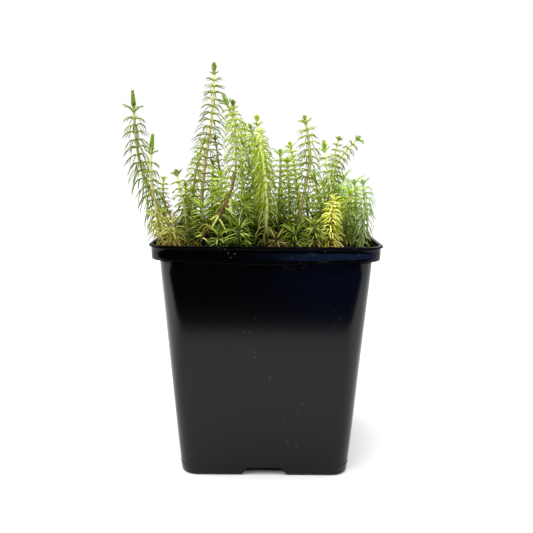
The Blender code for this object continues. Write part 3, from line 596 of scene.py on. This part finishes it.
# Looks of a shoot: how red brown its stem turns, how far its leaves have dried, how light its
# leaves and its stem are, how far they lean from yellow green to deep green, and the chance that a
# leaf near the foot is lost. Shoots without a line here have COMMON_LOOKS.
COMMON_LOOKS = (0.45, 0.0, 1.0, 1.0, 0.1, 0.4)
YOUNG_LOOKS = (0.45, 0.0, 1.2, 0.8, 0.25, 0.0)
SHOOT_LOOKS = {
    "shoot_far_left": (0.6, 0.0, 0.65, 0.8, 0.3, 0.0),
    "shoot_left_pale": (0.5, 0.0, 0.75, 1.2, 0.4, 0.1),
    "shoot_left_low": (0.5, 0.7, 1.1, 1.1, 0.0, 0.3),
    "shoot_corner_yellow": (0.4, 0.25, 0.66, 0.9, 0.3, 0.0),
    "shoot_corner_low": (0.4, 0.45, 0.62, 0.9, 0.25, 0.0),
    "shoot_left_bud": (0.3, 0.0, 0.85, 1.3, 0.2, 0.2),
    "shoot_left_small": (0.45, 0.0, 1.05, 1.2, 0.0, 0.3),
    "shoot_behind_red": (0.45, 0.0, 1.1, 1.0, 0.3, 0.0),
    "shoot_tallest": (0.6, 0.0, 0.68, 1.3, 0.05, 0.4),
    "shoot_behind_tallest": (0.45, 0.0, 1.15, 1.0, 0.1, 0.3),
    "shoot_brown_thin": (3.0, 0.3, 0.75, 0.55, 0.0, 0.3),
    "shoot_front_ladder": (0.4, 0.0, 1.3, 1.0, 0.2, 0.0),
    "shoot_twin_back": (0.4, 0.0, 1.3, 1.2, -0.1, 0.3),
    "shoot_twin_red": (1.15, 0.0, 1.15, 0.75, 0.1, 0.85),
    "shoot_front_left": (0.6, 0.0, 1.0, 0.4, 0.3, 0.0),
    "shoot_front_low": (0.6, 0.0, 0.9, 0.4, 0.5, 0.0),
    "shoot_middle_back": (0.2, 0.0, 1.3, 1.4, 0.15, 0.5),
    "shoot_dark_low": (0.5, 0.0, 0.5, 0.6, 0.8, 0.0),
    "shoot_dark_bud": (0.4, 0.0, 0.75, 0.8, 0.0, 0.3),
    "shoot_pale_front": (0.1, 0.0, 1.25, 1.4, 0.15, 0.3),
    "shoot_pale_second": (0.1, 0.0, 1.35, 1.5, 0.2, 0.4),
    "shoot_brown_low": (0.8, 0.6, 0.6, 0.5, 0.0, 0.0),
    "shoot_olive": (0.5, 0.05, 1.15, 0.8, 0.2, 0.2),
    "shoot_olive_behind": (0.6, 0.05, 1.15, 1.0, 0.2, 0.3),
    "shoot_thin_back": (0.2, 0.05, 1.4, 1.3, 0.1, 0.3),
    "shoot_front_spread": (0.6, 0.0, 0.9, 0.4, 0.5, 0.0),
    "shoot_right_tall": (0.55, 0.0, 0.95, 0.9, 0.3, 0.4),
    "shoot_front_olive": (0.6, 0.25, 1.1, 0.5, 0.1, 0.0),
    "shoot_right_low": (0.45, 0.0, 1.3, 1.0, 0.3, 0.2),
    "shoot_right_bud": (0.05, 0.0, 1.1, 1.6, 0.35, 0.5),
    "shoot_right_short": (0.45, 0.0, 1.2, 1.0, 0.4, 0.2),
    "shoot_back_slender": (0.3, 0.0, 0.8, 1.1, 0.2, 0.3),
    "shoot_leaning": (0.3, 0.0, 0.75, 1.1, 0.35, 0.4),
    "shoot_right_canopy": (0.5, 0.0, 1.5, 1.0, 0.1, 0.0),
    "shoot_yellow": (0.9, 0.15, 1.75, 0.9, 0.15, 0.0),
    "shoot_far_right": (0.3, 0.0, 1.25, 1.1, 0.1, 0.1),
    "shoot_right_brown": (0.9, 0.0, 1.5, 0.9, 0.1, 0.1),
    "shoot_right_blue": (0.5, 0.0, 1.5, 1.0, 0.1, 0.1),
}

# Leaves left on the lower half of the red stem: share of the stem from its foot, length, direction
# in degrees above +X as seen from the front, and droop of the tip as a share of the length.
HANGING_LEAVES = [
    (0.38, 10.0, -80, 0.0), (0.31, 7.0, -32, 0.0), (0.29, 10.5, -122, 0.1), (0.24, 6.5, -40, 0.7),
    (0.13, 3.8, -165, 0.1), (0.10, 5.0, 20, 1.0), (0.26, 4.5, -160, 0.3),
]
HANGING_WIDTH = 0.95
growth_rng = np.random.default_rng(38)
leaf_rng = np.random.default_rng(40)


def young_shoots(rng):
    """Young shoots on a staggered grid, left out where a shoot of the table already stands."""
    feet = np.array([row[:2] for row in SHOOTS.values()])
    rows = []
    steps = int(YOUNG_EDGE // YOUNG_SPACING) + 1
    for line in range(-steps, steps + 1):
        for place in range(-steps, steps + 1):
            scatter = rng.uniform(-YOUNG_SCATTER, YOUNG_SCATTER, 2)
            x = (place + 0.5 * (line % 2)) * YOUNG_SPACING + scatter[0]
            y = line * YOUNG_SPACING + scatter[1]
            lean = rng.uniform(-YOUNG_LEAN, YOUNG_LEAN, 2)
            height = rng.uniform(*YOUNG_HEIGHTS)
            reach = rng.uniform(*YOUNG_REACHES)
            droop = rng.uniform(*YOUNG_DROOPS)
            near = np.hypot(feet[:, 0] - x, feet[:, 1] - y).min()
            if max(abs(x), abs(y)) < YOUNG_EDGE and near > YOUNG_CLEARANCE:
                rows.append((x, y, x + lean[0], y + lean[1], COMPOST_TOP + height, 0.0, 0.0,
                             reach, droop, YOUNG_BUD, YOUNG_INTERNODE, YOUNG_TOP_REACH))
    return rows


def unit(vectors):
    return vectors / np.linalg.norm(vectors, axis=-1, keepdims=True)


class Shoot:
    """Centreline of one stem, and the points at which its leaves stand."""

    def __init__(self, name, row, looks):
        foot_x, foot_y, tip_x, tip_y, tip_z, self.bow, self.sway = row[:7]
        self.reach, self.droop, self.bud, self.internode, self.top_reach = row[7:]
        self.leaf_loss = looks[-1]
        self.slenderness = SLENDER_STEMS.get(name, 1.0)
        self.foot = np.array([foot_x, foot_y, compost_height(foot_x, foot_y) + 0.3])
        self.tip = np.array([tip_x, tip_y, tip_z])
        self.length = np.linalg.norm(self.tip - self.foot)

    def line(self, share):
        """Straight line from foot to tip, bent along x by bow sin(pi s) + sway sin(2 pi s)."""
        share = np.asarray(share, float)
        points = self.foot + (self.tip - self.foot) * share[..., None]
        bend = self.bow * np.sin(np.pi * share) + self.sway * np.sin(2 * np.pi * share)
        points[..., 0] += np.where(share > 0, bend, 0.0)
        return points

    def frame(self, share):
        """Direction of the line and two directions square to it, from the line's slope."""
        share = np.clip(np.asarray(share, float), 0.0, 1.0)
        slope = np.broadcast_to(self.tip - self.foot, share.shape + (3,)).copy()
        slope[..., 0] += self.bow * np.pi * np.cos(np.pi * share)
        slope[..., 0] += self.sway * 2 * np.pi * np.cos(2 * np.pi * share)
        along = unit(slope)
        side = unit(np.array([1.0, 0.0, 0.0]) - along * along[..., :1])
        return along, side, np.cross(along, side)

    def radius(self, share):
        """Falls evenly from the foot to the tip."""
        foot_radius = THINNEST_FOOT + STEM_GROWTH * self.length
        radius = foot_radius + (STEM_TOP_RADIUS - foot_radius) * np.clip(share, 0.0, 1.0)
        return radius * self.slenderness

    def rings_of_leaves(self):
        """Distances of the rings below the tip: bud + internode (k + growth k squared / 2)."""
        k = np.arange(MOST_RINGS)
        down = self.bud + self.internode * (k + INTERNODE_GROWTH / 2 * k * k)
        return down[self.length - down > LOWEST_RING]


def stem_surface(shoot):
    """Round sections along the line, thicker at each ring of leaves and closed at both ends. Its
    value along is 1 at a joint."""
    joints = 1.0 - shoot.rings_of_leaves()[::-1] / shoot.length
    half = JOINT_HEIGHT / 2 / shoot.length
    between = (joints[1:] + joints[:-1]) / 2
    ends = np.array([-STEM_SUNK / shoot.length, 0.0, 1.0 - shoot.bud * 0.5 / shoot.length, 0.995])
    share = np.concatenate([ends, joints - 2 * half, joints, joints + 2 * half, between])
    swelling = np.zeros(len(share))
    swelling[len(ends) + len(joints):len(ends) + 2 * len(joints)] = 1.0
    order = np.argsort(share)
    share, swelling = share[order], swelling[order]
    along, side, other = shoot.frame(share)
    radius = shoot.radius(share) * (1 + JOINT_SWELLING * swelling)
    radius = np.where(share > 0.99, 0.2, radius)
    angle = np.linspace(0, 2 * np.pi, STEM_AROUND, endpoint=False)
    spokes = side[:, None] * np.cos(angle)[:, None] + other[:, None] * np.sin(angle)[:, None]
    centre = shoot.line(share)
    rings = centre[:, None] + spokes * radius[:, None, None]
    points = np.vstack([rings.reshape(-1, 3), centre[:1], centre[-1:]])
    quads, fans = loft_faces(len(share), STEM_AROUND)
    age = np.concatenate([np.repeat(1 - np.clip(share, 0, 1), STEM_AROUND), [1.0, 0.0]])
    ring = np.concatenate([np.repeat(swelling, STEM_AROUND), [0.0, 0.0]])
    around = np.concatenate([np.tile(angle / (2 * np.pi), len(share)), [0.5, 0.5]])
    uv = np.column_stack([around, age])
    none = np.zeros(len(points))
    return points, quads, fans, uv, age, none, ring, none


def clear_of_pot(points):
    """True for each leaf that stays clear of the pot's wall: each of its points is inside the
    band, above the lip, or outside and at most 3 mm below the lip."""
    clear = 0.7
    past_corner = np.abs(points[..., :2]) - (BAND_INSIDE - CORNER_INSIDE)
    into_corner = np.linalg.norm(np.clip(past_corner, 0, None), axis=-1)
    far = np.abs(points[..., :2]).max(-1)
    inside = (far < BAND_INSIDE - clear) & (into_corner < CORNER_INSIDE - clear)
    outside = (far > BAND_INSIDE + 3.0) & (points[..., 2] > RIM_HEIGHT - 3.0)
    return (inside | outside | (points[..., 2] > RIM_HEIGHT + clear)).all(-1)


def leaf_curve(root, length, out, along, out_terms, along_terms, drop, swing=0.0):
    """Middle of each leaf at steps q from 0 to 1: the root, plus the leaf's length times out by
    a q + b q squared, along the stem by c q + d q squared, down by drop q squared, and sideways by
    swing q squared."""
    q = np.linspace(0.0, 1.0, LEAF_STEPS + 1)[None, :, None]
    a, b, c, d = (term[:, None, None] for term in (*out_terms, *along_terms))
    reach = out[:, None] * (a * q + b * q * q)
    rise = along[:, None] * (c * q + d * q * q)
    fall = np.array([0.0, 0.0, -1.0]) * drop[:, None, None] * q * q
    aside = np.cross(along, out)[:, None] * (swing * np.ones(len(root)))[:, None, None] * q * q
    return root[:, None] + length[:, None, None] * (reach + rise + fall + aside)


def rolled(across, axis, angle):
    """Directions turned round unit axes that are square to them."""
    angle = angle[:, None]
    return across * np.cos(angle) + np.cross(axis, across) * np.sin(angle)


def leaf_surfaces(curve, across, width, thickness, tone, age):
    """Narrow fleshy blades round their middle curves: oval sections, full width along most of the
    blade, a narrower foot and a rounded point. Each blade is closed by a pole at both ends. The
    last array tells how far each point of the skin faces up, from -1 to 1."""
    count, steps = curve.shape[:2]
    q = np.linspace(0.0, 1.0, steps)
    full = np.minimum(1.0, 0.6 + 1.6 * q) * np.sqrt(np.clip(1.0 - q ** 7, 0.0, 1.0))
    full = full[:-1]
    forward = unit(np.gradient(curve, axis=1))[:, :-1]
    across = unit(across[:, None] - forward * (across[:, None] * forward).sum(-1, keepdims=True))
    upper = np.cross(forward, across)
    angle = np.linspace(0, 2 * np.pi, LEAF_AROUND, endpoint=False)
    half_width = (width[:, None] * full)[:, :, None, None] / 2
    half_thickness = (thickness * full)[:, None, None] / 2
    flat = across[:, :, None] * np.cos(angle)[:, None] * half_width
    deep = upper[:, :, None] * np.sin(angle)[:, None] * half_thickness
    rings = curve[:, :-1, None] + flat + deep
    points = np.concatenate([rings.reshape(count, -1, 3), curve[:, :1], curve[:, -1:]], axis=1)
    quads, fans = loft_faces(steps - 1, LEAF_AROUND)
    per_leaf = points.shape[1]
    offset = per_leaf * np.arange(count)[:, None, None]
    along = np.concatenate([np.repeat(q[:-1], LEAF_AROUND), [0.0, 1.0]])
    side = np.concatenate([np.tile(0.5 + 0.5 * np.cos(angle), steps - 1), [0.5, 0.5]])
    uv = np.column_stack([np.tile(side, count), np.tile(along, count)])
    facing = across[..., None, 2] * np.cos(angle) + upper[..., None, 2] * np.sin(angle)
    facing = np.hstack([facing.reshape(count, -1), np.zeros((count, 2))]).ravel()
    return (points.reshape(-1, 3), (quads[None] + offset).reshape(-1, 4),
            (fans[None] + offset).reshape(-1, 3), uv, np.repeat(age, per_leaf),
            np.repeat(tone, per_leaf), np.tile(along, count), facing)


def leaf_places(shoot, down, scatter):
    """Ring number, middle of the stem, its direction and the direction outwards, for each leaf in
    rings at given distances below the tip. Each ring is turned half a space from the one above it,
    and scatter, with a row for each ring, turns the leaves a little farther."""
    rings, around = scatter.shape
    turn = (np.arange(around)[None] + 0.5 * (np.arange(rings) % 2)[:, None]) / around
    angle = (2 * np.pi * turn + scatter).ravel()
    which = np.repeat(np.arange(rings), around)
    share = 1.0 - down / shoot.length
    along, side, other = (values[which] for values in shoot.frame(share))
    out = side * np.cos(angle)[:, None] + other * np.sin(angle)[:, None]
    return which, shoot.line(share)[which], along, out


def open_leaves(shoot, rng):
    """The rings of open leaves. They grow longer and wider by the square root of the way down
    the growth zone, and hang more the longer they are."""
    down = shoot.rings_of_leaves()
    scatter = rng.uniform(-0.2, 0.2, (len(down), LEAVES_IN_A_RING))
    which, middle, along, out = leaf_places(shoot, down, scatter)
    count = len(which)
    grown = np.sqrt(np.clip((down - shoot.bud) / (GROWTH_ZONE * shoot.length), 0.0, 1.0))[which]
    length = shoot.reach * (shoot.top_reach + (1 - shoot.top_reach) * grown)
    length = length * rng.uniform(0.8, 1.08, count)
    root = middle + out * (shoot.radius(1.0 - down / shoot.length)[which] * 0.55)[:, None]
    rise = YOUNG_RISE * (1 - grown) ** 4 + rng.uniform(-0.16, 0.16, count)
    arch = rng.uniform(0.2, 0.8, count)
    hang = shoot.droop * (YOUNG_DROOP_SHARE + (1 - YOUNG_DROOP_SHARE) * grown)
    hang = hang * rng.uniform(0.75, 1.25, len(down))[which] * rng.uniform(0.6, 1.4, count) + 0.05
    terms = (np.ones(count), -DROOP_SHORTENING * hang), (arch + rise, -arch)
    swing = rng.normal(0.0, 0.13, count)
    curve = leaf_curve(root, length, out, along, *terms, hang, swing)
    # A leaf that would cut the pot's wall is made shorter until it stays clear.
    for _ in range(7):
        clear = clear_of_pot(curve)
        length = np.where(clear, length, length * 0.82)
        curve = leaf_curve(root, length, out, along, *terms, hang, swing)
    resting = compost_height(curve[..., 0], curve[..., 1]) + 0.9
    low = np.abs(curve[..., :2]).max(-1) < BAND_INSIDE
    curve[..., 2] = np.where(low, np.maximum(curve[..., 2], resting), curve[..., 2])
    width = LEAF_WIDTH_YOUNG + (LEAF_WIDTH_OLD - LEAF_WIDTH_YOUNG) * grown
    width = width * rng.uniform(0.8, 1.15, count) * shoot.slenderness
    age = np.clip(down / shoot.length, 0, 1)[which]
    across = rolled(np.cross(along, out), out, rng.uniform(-LEAF_TWIST, LEAF_TWIST, count))
    tone = rng.uniform(0, 1, count)
    kept = rng.uniform(0, 1, count) > shoot.leaf_loss * np.clip((age - 0.45) / 0.3, 0.0, 1.0)
    return leaf_surfaces(curve[kept], across[kept], width[kept], LEAF_THICKNESS, tone[kept],
                         age[kept])


def folded_leaves(shoot, rng):
    """The bud: rings of narrow upright leaves, close together. Those at its foot are the longest
    and have begun to lean out."""
    tuft = min(shoot.bud, max(SHORTEST_TUFT, shoot.bud - BUD_GAP), LONGEST_TUFT)
    down = np.arange(0.9, tuft + 0.2, FOLDED_SPACING)
    scatter = rng.uniform(-0.25, 0.25, (len(down), FOLDED_AROUND))
    which, middle, along, out = leaf_places(shoot, down, scatter)
    count = len(which)
    length = np.minimum(0.9 * down + 0.5, FOLDED_LONGEST)[which] * rng.uniform(0.8, 1.1, count)
    root = middle + out * 0.25
    opening = (down / down[-1])[which] ** 2 * rng.uniform(0.6, 1.3, count)
    out_terms = 0.21 + 0.1 * opening, 0.18 * opening - 0.12
    along_terms = np.full(count, 0.88), 0.1 - 0.15 * opening
    curve = leaf_curve(root, length, out, along, out_terms, along_terms, np.zeros(count))
    tone = rng.uniform(0.2, 0.8, count)
    return leaf_surfaces(curve, np.cross(along, out), np.full(count, FOLDED_WIDTH),
                         FOLDED_THICKNESS, tone, np.zeros(count))


def hanging_leaves(shoot):
    """Single long leaves that hang from the bare joints of a stem, as the table tells."""
    share, length, slope, drop = np.array(HANGING_LEAVES).T
    slope = np.radians(slope)
    out = unit(np.column_stack([np.cos(slope), np.full(len(slope), -0.3), np.sin(slope)]))
    root = shoot.line(share) + out * 0.5
    count = len(share)
    terms = (np.ones(count), np.zeros(count)), (np.zeros(count), np.zeros(count))
    curve = leaf_curve(root, length, out, shoot.frame(share)[0], *terms, drop)
    across = unit(np.cross(out, [0.0, 1.0, 0.0]))
    return leaf_surfaces(curve, across, np.full(count, HANGING_WIDTH), LEAF_THICKNESS,
                         np.ones(count), np.full(count, 0.1))


# Linear colours of a bud, of leaves as they age from the top of a shoot down, and of the stem,
# which turns from pale to red brown.
TISSUES = ("Bud", "Fresh", "Full", "Old", "Stem Pale", "Stem Red")
LEAF_COLOURS = {
    "leaf_green": [(0.35, 0.46, 0.04, 1), (0.35, 0.42, 0.036, 1), (0.22, 0.28, 0.014, 1),
                   (0.33, 0.22, 0.035, 1), (0.68, 0.66, 0.28, 1), (0.32, 0.16, 0.07, 1)],
    "leaf_bluish_green": [(0.32, 0.42, 0.12, 1), (0.35, 0.46, 0.17, 1), (0.26, 0.35, 0.11, 1),
                          (0.30, 0.27, 0.06, 1), (0.58, 0.60, 0.28, 1), (0.28, 0.14, 0.06, 1)],
    "leaf_yellow": [(0.35, 0.24, 0.05, 1), (0.54, 0.52, 0.10, 1), (0.46, 0.46, 0.065, 1),
                    (0.42, 0.27, 0.06, 1), (0.5, 0.42, 0.12, 1), (0.36, 0.17, 0.05, 1)],
}
DARK_BUD = (0.10, 0.11, 0.02, 1)             # bud of a shoot with a red brown stem


def plant_colour_group():
    """Colour of a leaf by its age, the place along it and its own tone, and of the stem, each
    scaled by a mask that holds how light the shoot is, with painted shade and painted light.
    """
    group, given, result = new_group(
        "marestail_colour",
        [("Color", tissue, (0, 0, 0, 1)) for tissue in TISSUES] + [("Vector", "Place", (0, 0, 0))],
        [("Color", "Colour"), ("Float", "Roughness"), ("Float", "Height")])

    def mask(name):
        node = group.nodes.new("ShaderNodeAttribute")
        node.attribute_name = name
        return node.outputs["Fac"]

    def changed(colour, change, value):
        node = group.nodes.new("ShaderNodeHueSaturation")
        group.links.new(colour, node.inputs["Color"])
        group.links.new(value, node.inputs[change])
        return node.outputs["Color"]

    age, tone, along, is_stem = (mask(name) for name in ("age", "tone", "along", "stem"))
    redness, dryness, lightness_and_painted_shade, green = (
        mask(name) for name in ("redness", "dryness", "lightness_and_painted_shade", "greenness"))
    blotch = noise(group, given.outputs["Place"], 260.0, 3.0)
    bud = mixed(group, spread(group, redness, 0.5, 1.0, 0.0, 0.85), given.outputs["Bud"], DARK_BUD)
    young = mixed(group, spread(group, age, 0.0, 0.1), bud, given.outputs["Fresh"])
    grown = mixed(group, spread(group, age, 0.1, 0.6), young, given.outputs["Full"])
    drying = plus(group, age, times(group, tone, 0.25))
    drying = plus(group, drying, times(group, blotch, 0.3))
    drying = plus(group, drying, dryness)
    leaf = mixed(group, spread(group, drying, 1.0, 1.45), grown, given.outputs["Old"])
    leaf = changed(leaf, "Value", spread(group, tone, 0.0, 1.0, 0.55, 1.4))
    leaf = changed(leaf, "Saturation", spread(group, tone, 0.2, 1.0, 1.1, 0.85))
    leaf = changed(leaf, "Value", spread(group, along, 0.3, 1.0, 1.08, 0.8))
    leaf = changed(leaf, "Hue", plus(group, times(group, green, 0.06), 0.5))
    ripeness = times(group, spread(group, age, 0.05, 0.65), redness)
    bark = mixed(group, ripeness, given.outputs["Stem Pale"], given.outputs["Stem Red"])
    bark = changed(bark, "Value", spread(group, age, 0.72, 1.0, 1.0, 0.4))
    mottle = spread(group, noise(group, given.outputs["Place"], 700.0, 4.0), 0.35, 0.65, 0.55, 1.25)
    bark = mixed(group, ripeness, bark, changed(bark, "Value", mottle))
    joint = mixed(group, ripeness, given.outputs["Full"], given.outputs["Old"])
    bark = mixed(group, times(group, along, 0.6), bark, joint)
    # Value scaled by the shoot's own tone, painted shade and painted light from above.
    colour = changed(mixed(group, is_stem, leaf, bark), "Value", lightness_and_painted_shade)
    group.links.new(colour, result.inputs["Colour"])
    group.links.new(spread(group, blotch, 0.3, 0.7, 0.5, 0.65), result.inputs["Roughness"])
    surface_map = group.nodes.new("ShaderNodeUVMap")
    surface_map.uv_map = "surface"
    ribs = group.nodes.new("ShaderNodeSeparateXYZ")
    group.links.new(surface_map.outputs["UV"], ribs.inputs[0])
    rib = calculate(group, "SINE", times(group, ribs.outputs["X"], 31.4))
    cells = noise(group, given.outputs["Place"], 4200.0, 1.0)
    height = plus(group, times(group, rib, 0.35), cells)
    group.links.new(height, result.inputs["Height"])
    return group


PLANT_COLOUR = plant_colour_group()


def leaf_material(name, colours):
    """Soft, slightly translucent green tissue with a satin skin."""
    made, tree, shader = new_material(name)
    group = placed_group(tree, PLANT_COLOUR, {**dict(zip(TISSUES, colours)),
                                              "Place": object_place(tree)})
    tree.links.new(group.outputs["Colour"], shader.inputs["Base Color"])
    tree.links.new(group.outputs["Roughness"], shader.inputs["Roughness"])
    bumped(tree, shader, group.outputs["Height"], 0.25, 0.00008)
    shader.inputs["Specular IOR Level"].default_value = 0.07
    shader.inputs["Subsurface Weight"].default_value = 0.2
    shader.inputs["Subsurface Scale"].default_value = 0.0009
    shader.inputs["Subsurface Radius"].default_value = (0.8, 1.0, 0.15)
    return made


LEAF_MATERIALS = {name: leaf_material(name, colours) for name, colours in LEAF_COLOURS.items()}


def shoot_slot(name):
    if name in BLUISH_SHOOTS:
        return "leaf_bluish_green"
    return "leaf_yellow" if name in YELLOW_SHOOTS else "leaf_green"


rows = dict(SHOOTS)
for number, row in enumerate(young_shoots(growth_rng), start=1):
    rows[f"young_shoot_{number:02d}"] = row
for name, row in rows.items():
    looks = SHOOT_LOOKS.get(name, COMMON_LOOKS if name in SHOOTS else YOUNG_LOOKS)
    shoot = Shoot(name, row, looks)
    redness, dryness, leaf_light, stem_light, greenness = looks[:5]
    # Each part is its points, quads, fans and uv, and the values of age, tone, along and facing.
    parts = [stem_surface(shoot), open_leaves(shoot, leaf_rng), folded_leaves(shoot, leaf_rng)]
    if name == "shoot_twin_red":
        parts.append(hanging_leaves(shoot))
    firsts = np.cumsum([0] + [len(part[0]) for part in parts[:-1]])
    points = np.vstack([part[0] for part in parts])
    is_stem = np.arange(len(points)) < firsts[1]
    age, tone, along, facing = (np.concatenate([part[n] for part in parts]) for n in (4, 5, 6, 7))
    # Painted shade deep and low in the clump, and painted light on the upper sides of leaves.
    to_edge = np.array([SHADE_SIDE, SHADE_FRONT]) - np.abs(points[:, :2])
    inward = np.clip(to_edge / SHADE_WIDTH, 0, 1).prod(-1)
    shade = SHADE * inward * np.clip((SHADE_TOP - points[:, 2]) / SHADE_HEIGHT, 0, 1)
    shade = shade * (1 - LIT_LEAF * np.clip((tone - 0.6) / 0.2, 0, 1))
    if name in LIT_SHOOTS:
        shade = shade * LIT_SHOOT_SHADE
    light = np.where(is_stem, stem_light, leaf_light) * (1 - shade) * (1 + PAINTED_UPPER_LIGHT * facing)
    reddening = np.full(len(points), redness)
    if name == "shoot_twin_red":
        reddening = reddening * np.where(is_stem, np.clip((age - 0.3) / 0.25, 0, 1), 1)
    masks = {
        "age": age,
        "tone": tone,
        "along": along,
        "stem": is_stem,
        "redness": reddening,
        "dryness": np.full(len(points), dryness),
        "lightness_and_painted_shade": light,
        "greenness": np.full(len(points), greenness),
    }
    slot = shoot_slot(name)
    piece = mesh_piece(name.replace("shoot", "stem_and_leaves"), points,
                       np.vstack([part[1] + first for part, first in zip(parts, firsts)]),
                       np.vstack([part[2] + first for part, first in zip(parts, firsts)]),
                       LEAF_MATERIALS[slot], uv=np.vstack([part[3] for part in parts]), masks=masks)
    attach(piece, "root")
    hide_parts(name)


# Floor, light and camera
# A white sheet that ends a little in front of the pot, in a bright white room that is dark behind
# the camera. The black plastic mirrors the sheet in its lower part, the dark of the room with a dim
# blue window in its upper part, and in its rounded corners the far sides of the sheet, which glow
# with painted light that reflections alone see.

FLOOR_FRONT = -218.0
FLOOR_SIDE = 3000.0
FLOOR_BACK = 4000.0
FLOOR_WHITE = (0.9, 0.9, 0.89, 1.0)
FLOOR_GRAIN = (0.92, 0.92, 0.92, 1.0)
LEFT_GLOW = 1.5              # painted light: how brightly the far left and right of the sheet glow in reflections
RIGHT_GLOW = 0.7
ROOM_WHITE = (1.3, 1.3, 1.3, 1.0)
ROOM_DARK = (0.0, 0.0, 0.01, 1.0)
ROOM_BLUE = (0.0, 0.02, 0.22, 1.0)
WINDOW_BLUE = (0.8, 1.6, 4.4, 1.0)
DARK_AS_LIGHT = 0.35         # how much of the dark part counts for light on dull surfaces
CAMERA_PLACE = (-0.0003, -0.3251, 0.1616)
CAMERA_YAW = math.radians(0.12)
CAMERA_PITCH = math.radians(10.63)
CAMERA_ROLL = math.radians(0.49)
FOCAL_PIXELS = 600.0
IMAGE_PIXELS = 533.0
SENSOR = 36.0


def sheet_material():
    """White card with a faint grain. Its far sides glow with painted light that reflections alone
    see.
    """
    made, tree, shader = new_material("white_sheet")
    place = object_place(tree)
    grain = noise(tree, place, 300.0, 4.0)
    tree.links.new(mixed(tree, grain, FLOOR_WHITE, FLOOR_GRAIN), shader.inputs["Base Color"])
    shader.inputs["Roughness"].default_value = 0.7
    split = tree.nodes.new("ShaderNodeSeparateXYZ")
    tree.links.new(place, split.inputs[0])
    # Painted light: the far sides of the sheet glow for glossy rays alone, to light the pot's
    # corners in reflection.
    left_part = spread(tree, split.outputs["X"], -0.24, -0.1, LEFT_GLOW, 0.0)
    right_part = spread(tree, split.outputs["X"], 0.07, 0.16, 0.0, RIGHT_GLOW)
    mirrored = tree.nodes.new("ShaderNodeLightPath").outputs["Is Glossy Ray"]
    glow = times(tree, plus(tree, left_part, right_part), mirrored)
    shader.inputs["Emission Color"].default_value = (1.0, 1.0, 1.0, 1.0)
    tree.links.new(glow, shader.inputs["Emission Strength"])
    return made


floor_corners = np.array([(-FLOOR_SIDE, FLOOR_FRONT, 0), (FLOOR_SIDE, FLOOR_FRONT, 0),
                          (FLOOR_SIDE, FLOOR_BACK, 0), (-FLOOR_SIDE, FLOOR_BACK, 0)])
floor = mesh_piece("floor", floor_corners, np.array([[0, 1, 2, 3]]), np.zeros((0, 3), int),
                   sheet_material())


def soft_light(name, place, aim, size, watts):
    """Square area light at a place, turned to what it aims at."""
    light = bpy.data.lights.new(name, "AREA")
    light.shape = "SQUARE"
    light.size = size
    light.energy = watts
    lamp = bpy.data.objects.new(name, light)
    bpy.context.scene.collection.objects.link(lamp)
    lamp.location = place
    direction = Vector(place) - Vector(aim)
    lamp.rotation_euler = direction.to_track_quat("Z", "Y").to_euler()


soft_light("light_above", (-0.15, -0.1, 0.95), (0.0, 0.0, 0.1), 0.9, 9.0)
soft_light("light_left", (-0.9, -0.35, 0.6), (0.0, 0.0, 0.12), 0.6, 3.0)

world = bpy.data.worlds.new("white_room")
bpy.context.scene.world = world
world.use_nodes = True
tree = world.node_tree
background = tree.nodes["Background"]
facing = tree.nodes.new("ShaderNodeSeparateXYZ")
tree.links.new(tree.nodes.new("ShaderNodeTexCoord").outputs["Generated"], facing.inputs[0])
to_right, to_back, upward = facing.outputs
rays = tree.nodes.new("ShaderNodeLightPath")
dark = times(tree, spread(tree, times(tree, to_back, -1.0), 0.1, 0.4),
             spread(tree, upward, 0.45, 0.85, 1.0, 0.0))
dark = times(tree, dark, spread(tree, rays.outputs["Is Glossy Ray"], 0.0, 1.0, DARK_AS_LIGHT, 1.0))
window = times(tree, spread(tree, upward, -0.27, -0.23), spread(tree, upward, -0.08, 0.0, 1.0, 0.0))
blue_side = mixed(tree, window, ROOM_BLUE, WINDOW_BLUE)
dark_part = mixed(tree, spread(tree, to_right, 0.0, 0.08), ROOM_DARK, blue_side)
room = mixed(tree, dark, ROOM_WHITE, dark_part)
tree.links.new(mixed(tree, rays.outputs["Is Camera Ray"], room, (1.0, 1.0, 1.0, 1.0)),
               background.inputs["Color"])

camera_data = bpy.data.cameras.new("camera")
camera_data.sensor_width = SENSOR
camera_data.lens = SENSOR * FOCAL_PIXELS / IMAGE_PIXELS
camera_data.clip_start = 0.01
camera = bpy.data.objects.new("camera", camera_data)
bpy.context.scene.collection.objects.link(camera)
camera.matrix_world = (
    Matrix.Translation(CAMERA_PLACE)
    @ Matrix.Rotation(-CAMERA_YAW, 4, "Z")
    @ Matrix.Rotation(math.pi / 2 - CAMERA_PITCH, 4, "X")
    @ Matrix.Rotation(CAMERA_ROLL, 4, "Z")
)
bpy.context.scene.camera = camera
bpy.context.scene.view_settings.view_transform = "Standard"
